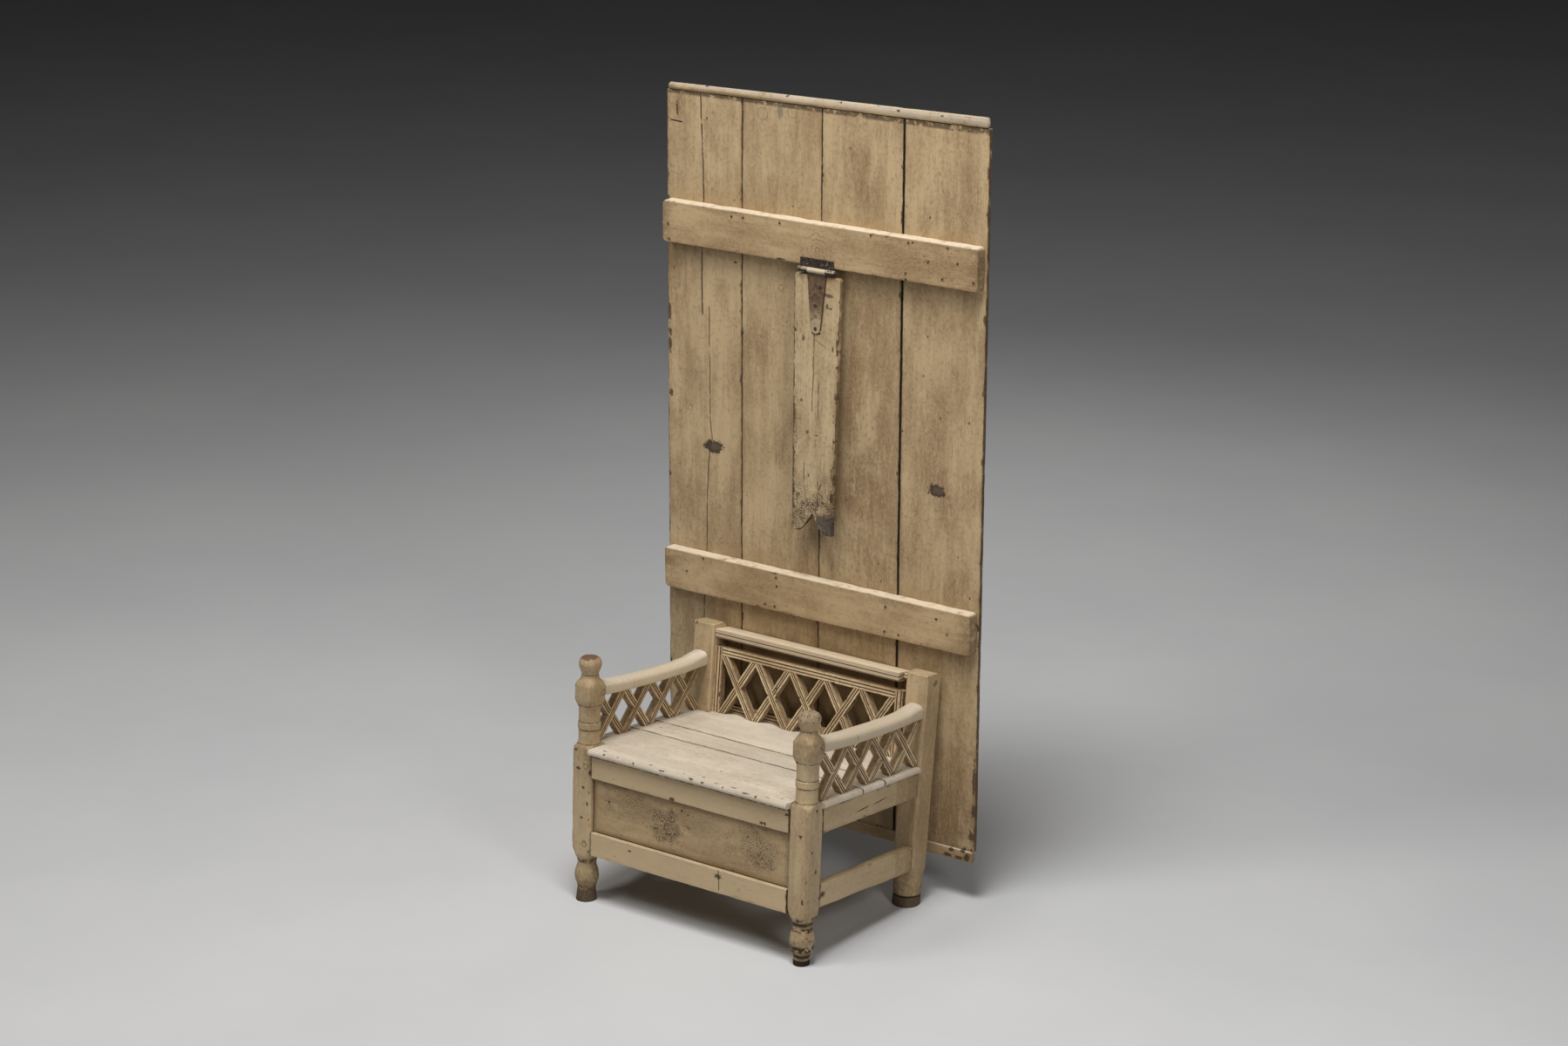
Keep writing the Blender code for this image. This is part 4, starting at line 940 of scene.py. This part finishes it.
board_paint.mark(chips * facing, CHIP_BROWN, share=0.9, dent=0.5)
spot = blot(board_paint, on_top(-147, 2191), mm(10, SHALLOW, 20), ragged=0.9, scale=90.0)
board_paint.mark(spot * facing, GREY_SPOT, share=0.6)
print(len(STAINS_AND_LEG_SHADOW), "stains and", len(CHIPS), "chips on the boards")

# %% [markdown]
# Two dark knots have bled through, each a ragged dark blot with a paler heart. The first board has
# split along its length in two courses, and the widest joint between boards stands open.

# %% Table boards: knots, splits and the open joint
KNOT_DARK, KNOT_HEART, GAP_DARK = (0.052, 0.034, 0.024), (0.165, 0.115, 0.080), (0.014, 0.013, 0.013)
for across, height, wide, tall_by in ((-377, 1190, 34, 21), (392, 1195, 29, 19)):
    centre = on_top(across, height)
    knot = blot(board_paint, centre, mm(wide, 30, tall_by), ragged=0.75, scale=60.0, soft=0.35)
    inner = (wide / 1500, 0.03, tall_by / 1600)
    heart = blot(board_paint, centre + Vector((0.004, 0, 0)), inner, ragged=1.2, scale=110.0)
    board_paint.mark(knot * facing, KNOT_DARK, share=0.95, dent=0.3)
    board_paint.mark(heart * facing, KNOT_HEART, share=0.5)
SPLIT_HIGH = ((-423, 2212), (-415, 2020), (-413, 1907), (-418, 1767), (-420, 1663), (-417, 1575))
SPLIT_LOW = ((-394, 1600), (-391, 1270), (-384, 1211), (-394, 1170),
             (-401, 1059), (-403, 873), (-414, 710), (-416, 165))
for course, width, share in ((SPLIT_HIGH, 0.0034, 0.9), (SPLIT_LOW, 0.0026, 0.75)):
    runs = [split(board_paint, on_top(*start), on_top(*end), width, keep=FROM_FRONT)
            for start, end in zip(course, course[1:])]
    broken = board_paint.fray(34.0).within(-0.22, 0.0)
    board_paint.mark(gather(runs) * broken * facing, WOOD, share, dent=0.6)
wide_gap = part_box("table_board_4")[0].x
gap = abs(x - wide_gap + board_paint.fray(60.0) * 0.003).within(0.0050, 0.0024)
board_paint.mark(gap, GAP_DARK, share=0.95, dent=0.5)
print("the open joint is at", round(wide_gap, 3))

# %% [markdown]
# Last come a scratch near the top, faint rings of plugged holes, dirt along the end cleat, and
# painted shade on the boards behind the bench's back.

# %% Table boards: scratch, plugs and dark places
PLUG_BROWN, CLEAT_DIRT, BEHIND_BACK_SHADE = (0.17, 0.108, 0.058), (0.07, 0.045, 0.027), (0.15, 0.096, 0.048)
PLUGS = ((-140, 1693, 9), (-349, 910, 8), (-463, 1292, 8), (-207, 2178, 17), (-106, 2192, 15))
scratch = split(board_paint, on_top(-527, 2126), on_top(-489, 2124), 0.0034, 0.0, FROM_FRONT)
board_paint.mark(scratch * facing, WOOD, share=0.95, dent=0.5)
plugs = gather([ring(board_paint, on_top(across, height), radius / 1000, 0.0020)
                for across, height, radius in PLUGS])
board_paint.mark(plugs * board_paint.fray(90.0).within(-0.16, 0.04), PLUG_BROWN, share=0.5, dent=0.4)
cleat_line = z.within(2.200, 2.208) * (board_paint.fray(60.0) + 0.5).within(0.34, 0.50)
board_paint.mark(cleat_line * facing, CLEAT_DIRT, share=0.8, dent=0.3)
# Painted shade on the boards behind the lattice.
behind_back_shade = blot(board_paint, on_top(10, 530), mm(360, DEEP, 150), ragged=0.5, scale=20.0, soft=0.5)
board_paint.mark(behind_back_shade * facing, BEHIND_BACK_SHADE, share=0.55)
board_paint.close(depth=0.0016)
for number in range(1, 5):
    dress(f"table_board_{number}", board_paint, step=0.03, nick=0.003)

# %% [markdown]
# ## Battens, end cleats and pivot rail
# The battens hold the boards together from the front. Their ends are rounded and dark from handling,
# and their upper faces are worn pale and painted lighter as highlight. Above the hinge the grain swirls
# round a buried knot: a sine of the distance to the knot, bent by noise, draws its rings.

# %% Battens, cleats and pivot rail: the coat and the swirl
KNOT_X, KNOT_Z, KNOT_RINGS, KNOT_BEND = 0.008, 1.822, 480.0, 22.0
SWIRL_BROWN, END_BROWN = (0.17, 0.108, 0.056), (0.20, 0.13, 0.068)
WORN_AND_LIT_TOP, CLEAT_TOP, RAIL_PALE = (0.72, 0.61, 0.46), (0.50, 0.430, 0.335), (0.76, 0.63, 0.45)
batten_paint = OldPaint("batten_paint")
batten_paint.lay((0.48, 0.348, 0.197), (0.29, 0.184, 0.090), stain=0.80, specks=0.6, chips=0.9, nicks=0.2)
x, _, z = batten_paint.parts(batten_paint.place)
away = batten_paint.length(batten_paint.node("ShaderNodeCombineXYZ", None, {0: x - KNOT_X, 2: z - KNOT_Z}))
bent = away * KNOT_RINGS + batten_paint.cloud(22.0, 4.0, 0.6, batten_paint.place) * KNOT_BEND
swirl = batten_paint.node("ShaderNodeMath", {"operation": "SINE"}, {0: bent}).within(0.45, 1.0)
swirl = swirl * away.within(0.070, 0.048) * batten_paint.fray(50.0).within(-0.12, 0.12)
batten_paint.mark(swirl * z.within(1.70, 1.71), SWIRL_BROWN, share=0.42, dent=0.5)
blotchy = batten_paint.cloud(40.0, 4.0, 0.65, batten_paint.place)
batten_paint.mark(abs(x).within(0.48, 0.53) * blotchy.within(0.40, 0.60), END_BROWN, share=0.65)
across, half_across = batten_paint.parts(batten_paint.grain)[1], batten_paint.parts(batten_paint.half)[1]
upper_face = (across - half_across).within(-0.007, -0.001)
# The battens' upper faces: worn paint and painted highlight.
batten_paint.mark(upper_face * z.within(2.20, 2.19) * blotchy.within(0.78, 0.50), WORN_AND_LIT_TOP, share=0.85)
batten_paint.mark(z.within(2.225, 2.230) * blotchy.within(0.76, 0.50), CLEAT_TOP, share=0.75)
on_rail = z.within(0.56, 0.57) * z.within(0.71, 0.70)
batten_paint.mark(on_rail, RAIL_PALE, share=0.60)
print("the buried knot is at", KNOT_X, KNOT_Z)

# %% [markdown]
# The pivot rail has two lines planed along its front. Rust has run from the nails into the battens'
# paint, so the nails' places are settled here and used again for their heads. The cleats are chipped.

# %% Battens, cleats and pivot rail: lines, rust and chips
LINE_DARK, RUST_BROWN, CLEAT_BARE = (0.05, 0.032, 0.018), (0.12, 0.072, 0.038), (0.06, 0.04, 0.026)
NAILS_UPPER = (
    (-288, 1884), (-248, 1886), (-121, 1887), (-509, 1791), (-513, 1834), (186, 1893), (309, 1889),
    (437, 1891), (375, 1845), (470, 1853), (522, 1807), (302, 1803), (303, 1786), (422, 1803),
)
NAILS_LOWER = (
    (-391, 857), (-451, 807), (-129, 849), (-126, 824), (-167, 763), (-133, 762), (251, 838), (249, 764),
    (422, 836), (459, 798), (296, 763),
)
NAILS = NAILS_UPPER + NAILS_LOWER
BATTEN_FACE, CLEAT_FACE, RUST_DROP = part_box("batten_upper")[0].y, FACE - 0.005, 2
rail_low, rail_high = (corner.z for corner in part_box("pivot_rail"))
lines = gather([abs(z - rail_low - (rail_high - rail_low) * share).within(0.0024, 0.0008)
                for share in (0.36, 0.66)])
batten_paint.mark(lines * on_rail, LINE_DARK, share=0.85, dent=0.4)
rust = gather([
    blot(batten_paint, on_top(across, height - RUST_DROP, BATTEN_FACE), mm(6.2, SHALLOW, 8), 0.9, 120.0, 0.8)
    for across, height in NAILS])
batten_paint.mark(rust, RUST_BROWN, share=0.5, dent=0.2)
# Each chip: to the right, above the floor, its half width and half height, in millimetres.
CLEAT_CHIPS = (
    (467, 146, 9, 6), (455, 129, 14, 6), (494, 128, 14, 6), (520, 135, 10, 12), (505, 150, 8, 5),
    (300, 150, 10, 4), (-400, 2236, 6, 3), (-300, 2240, 5, 3), (-120, 2238, 6, 3), (60, 2240, 4, 3),
    (250, 2238, 6, 3), (390, 2240, 5, 3), (-505, 2238, 8, 4),
)
chips = gather([
    blot(batten_paint, on_top(across, height, CLEAT_FACE), mm(wide, SHALLOW, tall_by), 0.9, 120.0)
    for across, height, wide, tall_by in CLEAT_CHIPS])
batten_paint.mark(chips, CLEAT_BARE, share=0.88, dent=0.5)
batten_paint.close(depth=0.0012)
for node in ("batten_upper", "batten_lower", "end_cleat_top", "end_cleat_bottom"):
    dress(node, batten_paint, step=0.03, wander=0.0014, nick=0.004)
dress("pivot_rail", batten_paint, step=0)

# %% [markdown]
# ## Prop leg
# The leg is a plain board with a notched foot. Its foot has stood on floors and its left edge has been
# knocked, so the coat is laid with more specks, chips and crazing there.

# %% Prop leg: the coat
leg_paint = OldPaint("leg_paint")
x, _, z = leg_paint.parts(leg_paint.place)
shabby = z.within(1.24, 1.08)
worn_left = x.within(-0.020, -0.060) * z.within(1.62, 1.30)
islands = leg_paint.cloud(24.0, 3.0, 0.6, leg_paint.place).within(0.40, 0.62)
leg_paint.lay((0.54, 0.415, 0.250), (0.30, 0.195, 0.097), stain=0.75, rubbed_and_highlit_rims=0.1, nicks=0.3,
              specks=0.6 + 0.4 * shabby.most(worn_left), chips=1.1 + 0.6 * shabby,
              craze=islands * shabby.most(worn_left * 0.8), crowd=0.28 * shabby.most(worn_left * 0.9))

# %% [markdown]
# Flakes and cracks are set by place. The cracks run down the board and fork at the notch, a dark
# ragged line of painted shadow follows the left edge, and both edges are darkened by chips and painted
# shade.

# %% Prop leg: flakes, cracks and edges
LEG_FACE = 0.30
LEG_FLAKE, LEG_RIM_SHADOW, LEG_ARRIS_CHIPS_AND_SHADE = (0.09, 0.060, 0.038), (0.080, 0.054, 0.034), (0.15, 0.098, 0.054)
# Each flake, in millimetres: to the right, above the floor, its half width and half height.
LEG_MARKS = (
    (49, 1704, 15, 6), (44, 1672, 6, 8), (56, 1668, 6, 4), (-33, 1573, 5, 8), (66, 1555, 3, 12),
    (-60, 1215, 7, 60), (-59, 1125, 9, 45), (-55, 1085, 8, 14), (-22, 1097, 9, 5), (12, 1100, 6, 5),
    (45, 1108, 8, 4), (20, 1080, 5, 9), (-40, 1120, 8, 8), (-5, 1180, 4, 7), (-12, 1305, 5, 5),
    (20, 1300, 8, 3), (-61, 1350, 6, 50), (80, 1420, 4, 12), (78, 1290, 4, 9), (-64, 1450, 5, 40),
    (79, 1180, 4, 20), (-66, 1560, 4, 24), (-35, 1395, 4, 5),
)
# Each crack: its start, its end and its width, in millimetres.
LEG_CRACKS = (
    ((3, 1592), (2, 1368), 2.0), ((23, 1450), (24, 1352), 1.4), ((27, 1168), (27, 1085), 2.2),
    ((38, 1162), (28, 1140), 2.8), ((28, 1140), (48, 1120), 3.0), ((10, 1572), (42, 1556), 1.4),
    ((-22, 1215), (-22, 1145), 1.8),
)
flakes = gather([
    blot(leg_paint, on_top(across, height, LEG_FACE), mm(wide, DEEP, tall_by), ragged=1.1, scale=140.0)
    for across, height, wide, tall_by in LEG_MARKS])
leg_paint.mark(flakes, LEG_FLAKE, share=0.85, dent=0.5)
cracks = gather([split(leg_paint, on_top(*start), on_top(*end), width / 1000, 0.007, FROM_FRONT)
                 for start, end, width in LEG_CRACKS])
leg_paint.mark(cracks * leg_paint.fray(40.0).within(-0.20, 0.02), WOOD, share=0.85, dent=0.6)
# Painted shadow: a dark ragged line along the left edge, where the leg stands off the boards.
left_rim_shadow = (leg_paint.to_side + leg_paint.fray(50.0) * 0.012).within(0.0050, 0.0015) * x.within(0.0, -0.02)
leg_paint.mark(left_rim_shadow, LEG_RIM_SHADOW, share=0.75, dent=0.4)
# Both edges: dark chips and painted shade.
arris = (leg_paint.to_side + leg_paint.fray(50.0) * 0.003).within(0.0016, 0.0005)
leg_paint.mark(arris, LEG_ARRIS_CHIPS_AND_SHADE, share=0.7)
print(len(LEG_MARKS), "flakes and", len(LEG_CRACKS), "cracks on the prop leg")

# %% [markdown]
# Dirt has gathered against the iron strap and leaves a dark outline beside it. The notch is dark
# inside, and the right tooth's end has gone grey and bare.

# %% Prop leg: strap outline, notch and tooth
HINGE_X, HINGE_Z = 0.009, 1.770
STRAP_DIRT, TOP_SHADE, NOTCH_DARK = (0.045, 0.028, 0.017), (0.20, 0.125, 0.068), (0.036, 0.025, 0.017)
TOOTH_GREY, TOOTH_DARK = (0.095, 0.080, 0.068), (0.035, 0.028, 0.024)


def below_hinge(across, down):
    """A place on the leg, across and down from the hinge's pin in metres."""
    return HINGE_X + across, 0, HINGE_Z - down


outline = gather([split(leg_paint, below_hinge(side * 0.030, 0.015), below_hinge(side * 0.0148, 0.166),
                        0.0050, 0.002, FROM_FRONT) for side in (-1, 1)])
under_tip = split(leg_paint, below_hinge(-0.012, 0.177), below_hinge(0.012, 0.177), 0.0055, 0.0, FROM_FRONT)
leg_paint.mark(outline.most(under_tip), STRAP_DIRT, share=0.8, dent=0.3)
leg_paint.mark(z.within(1.735, 1.760) * leg_paint.grime, TOP_SHADE, share=0.6)
inside = leg_paint.to_face.within(0.0012, 0.0030) * z.within(1.095, 1.085)
leg_paint.mark(inside * abs(x - HINGE_X).within(0.064, 0.058), NOTCH_DARK, share=0.93, dent=0.2)
tooth = (z + leg_paint.fray(70.0) * 0.03).within(1.080, 1.066) * x.within(0.020, 0.028)
leg_paint.mark(tooth, TOOTH_GREY, share=0.85, dent=0.3)
leg_paint.mark(tooth * leg_paint.fray(160.0).within(0.02, 0.10), TOOTH_DARK, share=0.7, dent=0.3)
leg_paint.close(depth=0.0013)
dress("prop_leg", leg_paint, wander=0.0012, nick=0.004)

# %% [markdown]
# ## Iron hinge
# The leaf is black-brown iron with flecks of paint, and some cream is left on the barrel. Iron this old
# is hardly bright any more, so it is only partly metal and quite rough.

# %% Hinge leaf and pin
IRON_BLACK, IRON_BROWN = (0.026, 0.019, 0.017), (0.070, 0.044, 0.031)
FLECK_CREAM, BARREL_CREAM = (0.36, 0.30, 0.22), (0.50, 0.41, 0.29)
black_iron = Finish("black_iron")
pits = black_iron.cloud(160.0, 4.0, 0.6)
flecks = black_iron.cells(170.0).within(0.42, 0.22) * black_iron.cloud(50.0, 3.0).within(0.48, 0.60)
colour = black_iron.blend(pits.within(0.4, 0.7), IRON_BLACK, IRON_BROWN)
colour = black_iron.blend(flecks * 0.8, colour, FLECK_CREAM)
z = black_iron.parts(black_iron.place)[2]
barrel = z.within(HINGE_Z - 0.001, HINGE_Z + 0.003) * z.within(HINGE_Z + 0.0085, HINGE_Z + 0.0075)
colour = black_iron.blend(barrel * pits.within(0.38, 0.56) * 0.85, colour, BARREL_CREAM)
black_iron.seal(colour, 0.60 + 0.2 * pits, pits - 0.3 * flecks, 0.0015, metal=0.35)
dress("hinge_leaf", black_iron, step=0)
dress("hinge_pin", black_iron, step=0)

# %% [markdown]
# The strap below is rust-brown under the barrel and runs out into cream paint at its tip, and its
# middle knuckle was painted over. Just under the barrel it is darkened further as painted shade.
# Heights below the pin tell these places apart.

# %% Hinge strap
RUST_DARK, RUST_PALE, STRAP_CREAM = (0.066, 0.037, 0.020), (0.18, 0.110, 0.058), (0.46, 0.350, 0.218)
UNDER_BARREL_SHADE, KNUCKLE_CREAM = (0.045, 0.026, 0.018), (0.56, 0.45, 0.31)
rusted_iron = Finish("rusted_iron")
z = rusted_iron.parts(rusted_iron.place)[2]
pits = rusted_iron.cloud(90.0, 5.0, 0.68)
colour = rusted_iron.blend(pits.within(0.35, 0.65), RUST_DARK, RUST_PALE)
painted = (z + (pits - 0.5) * 0.22).within(1.680, 1.610)
colour = rusted_iron.blend(painted * 0.9, colour, STRAP_CREAM)
# Painted shade just under the barrel.
colour = rusted_iron.blend(z.within(HINGE_Z - 0.028, HINGE_Z - 0.012) * 0.7, colour, UNDER_BARREL_SHADE)
knuckle = z.within(HINGE_Z - 0.0085, HINGE_Z - 0.0065)
colour = rusted_iron.blend(knuckle * pits.within(0.28, 0.38), colour, KNUCKLE_CREAM)
rusted_iron.seal(colour, 0.58 + 0.15 * pits, pits + 0.4 * painted, 0.0012)
dress("hinge_strap", rusted_iron, step=0)

# %% [markdown]
# ## Nails, screws and pegs
# Heads this small could be bumps in a shader, but a real head catches light from every side, so each
# is a low turned cap, or two half caps with a slot between. A line cast at the worn piece finds where
# the head sits, and all heads of one kind become one mesh that rides with what they are driven into.

# %% Heads on the surface that carries them
CAP_PROFILE, CAP_SIDES = ((1.0, -0.6), (1.0, 0.35), (0.82, 0.8), (0.45, 1.0)), 12
NO_EDGE = (9, 9, 9)


def cap(bm, place, normal, radius, rise, slot):
    """A low cap on the surface; a slot, given as half its angle, parts it in two."""
    turn = normal.to_track_quat("Z", "Y").to_matrix()

    def point(angle, share, height):
        side = radius * share * math.sin(angle)
        if slot:
            side = math.copysign(max(abs(side), radius * math.sin(slot)), math.sin(angle))
        return place + turn @ Vector((radius * share * math.cos(angle), side, rise * height))

    halves = ((slot, math.pi - slot), (math.pi + slot, math.tau - slot))
    for start, stop in halves if slot else ((0.0, math.tau),):
        angles = [start + (stop - start) * i / CAP_SIDES for i in range(CAP_SIDES + bool(slot))]
        rows = [[bm.verts.new(point(angle, *row)) for angle in angles] for row in CAP_PROFILE]
        for lower, upper in zip(rows, rows[1:]):
            for i in range(len(angles)):
                j = (i + 1) % len(angles)
                bm.faces.new((lower[i], lower[j], upper[j], upper[i]))
        bm.faces.new(rows[-1])


def heads(name, nodes, starts, way, radius, rise, finish, slot=0.0):
    """Caps where lines from these starts meet the worn copies of these nodes."""
    bm = bmesh.new()
    trees = []
    for node in nodes:
        mesh = bpy.data.objects["worn_" + node].data
        points, faces = [v.co for v in mesh.vertices], [p.vertices for p in mesh.polygons]
        trees.append(BVHTree.FromPolygons(points, faces))
    for start in starts:
        hits = [tree.ray_cast(Vector(start), Vector(way)) for tree in trees]
        place, normal, _, _ = min((hit for hit in hits if hit[0]), key=lambda hit: hit[3])
        cap(bm, place, normal, radius, rise, slot)
    mesh = bpy.data.meshes.new(name)
    bm.to_mesh(mesh)
    places = [tuple(v.co) for v in bm.verts]
    bm.free()
    carry(mesh, grain=places, half=[NO_EDGE] * len(places), lot=[(0, 0, 0)] * len(places))
    made = stand(name, mesh, finish)
    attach(made, body_of[nodes[0]])
    print(name, "has", len(starts), "heads")


# %% [markdown]
# The nails are rusty, the strap's screws are of the same old iron, and the leaf's screws are as black
# as the leaf. The pegs are wood, and were painted with the posts.

# %% Nails, screws and pegs
NAIL_DARK, NAIL_RUST, SLOT_ANGLE = (0.035, 0.024, 0.018), (0.13, 0.078, 0.045), 0.16
FORWARD, LEFTWARD, BEFORE = (0, 1, 0), (-1, 0, 0), BATTEN_FACE - 0.2
LEAF_SCREWS, STRAP_SCREWS = ((-36, 1797), (9, 1797), (54, 1797)), ((24, 1725), (8, 1672), (9, 1606))
# Each kind of head, in metres: its radius and its rise.
NAIL, STRAP_SCREW = (0.0031, 0.0009), (0.0056, 0.0018)
LEAF_SCREW, PEG = (0.0048, 0.0010), (0.0070, 0.0007)
nail_iron = Finish("nail_iron")
pits = nail_iron.cloud(300.0, 3.0, 0.6)
rusty = nail_iron.blend(pits.within(0.4, 0.65), NAIL_DARK, NAIL_RUST)
nail_iron.seal(rusty, 0.7 + 0.1 * pits, pits, 0.0006, metal=0.3)

# Every line starts clear of its piece: before it, or to the right of the bench.
nails = [on_top(*place, BEFORE) for place in NAILS]
heads("batten_nails", ("batten_upper", "batten_lower"), nails, FORWARD, *NAIL, nail_iron)
screws = [on_top(*place, BEFORE) for place in STRAP_SCREWS]
heads("strap_screws", ("hinge_strap",), screws, FORWARD, *STRAP_SCREW, nail_iron, SLOT_ANGLE)
screws = [on_top(*place, BEFORE) for place in LEAF_SCREWS]
heads("leaf_screws", ("hinge_leaf",), screws, FORWARD, *LEAF_SCREW, black_iron, SLOT_ANGLE)
pegs = [on_bench(u, -100, n) for u, _, n in PEGS[:2]]
heads("left_post_pegs", ("front_post_left",), pegs, FORWARD, *PEG, frame_paint)
pegs = [on_bench(600, 52, 628)]
heads("right_block_peg", ("front_post_right",), pegs, LEFTWARD, *PEG, frame_paint)
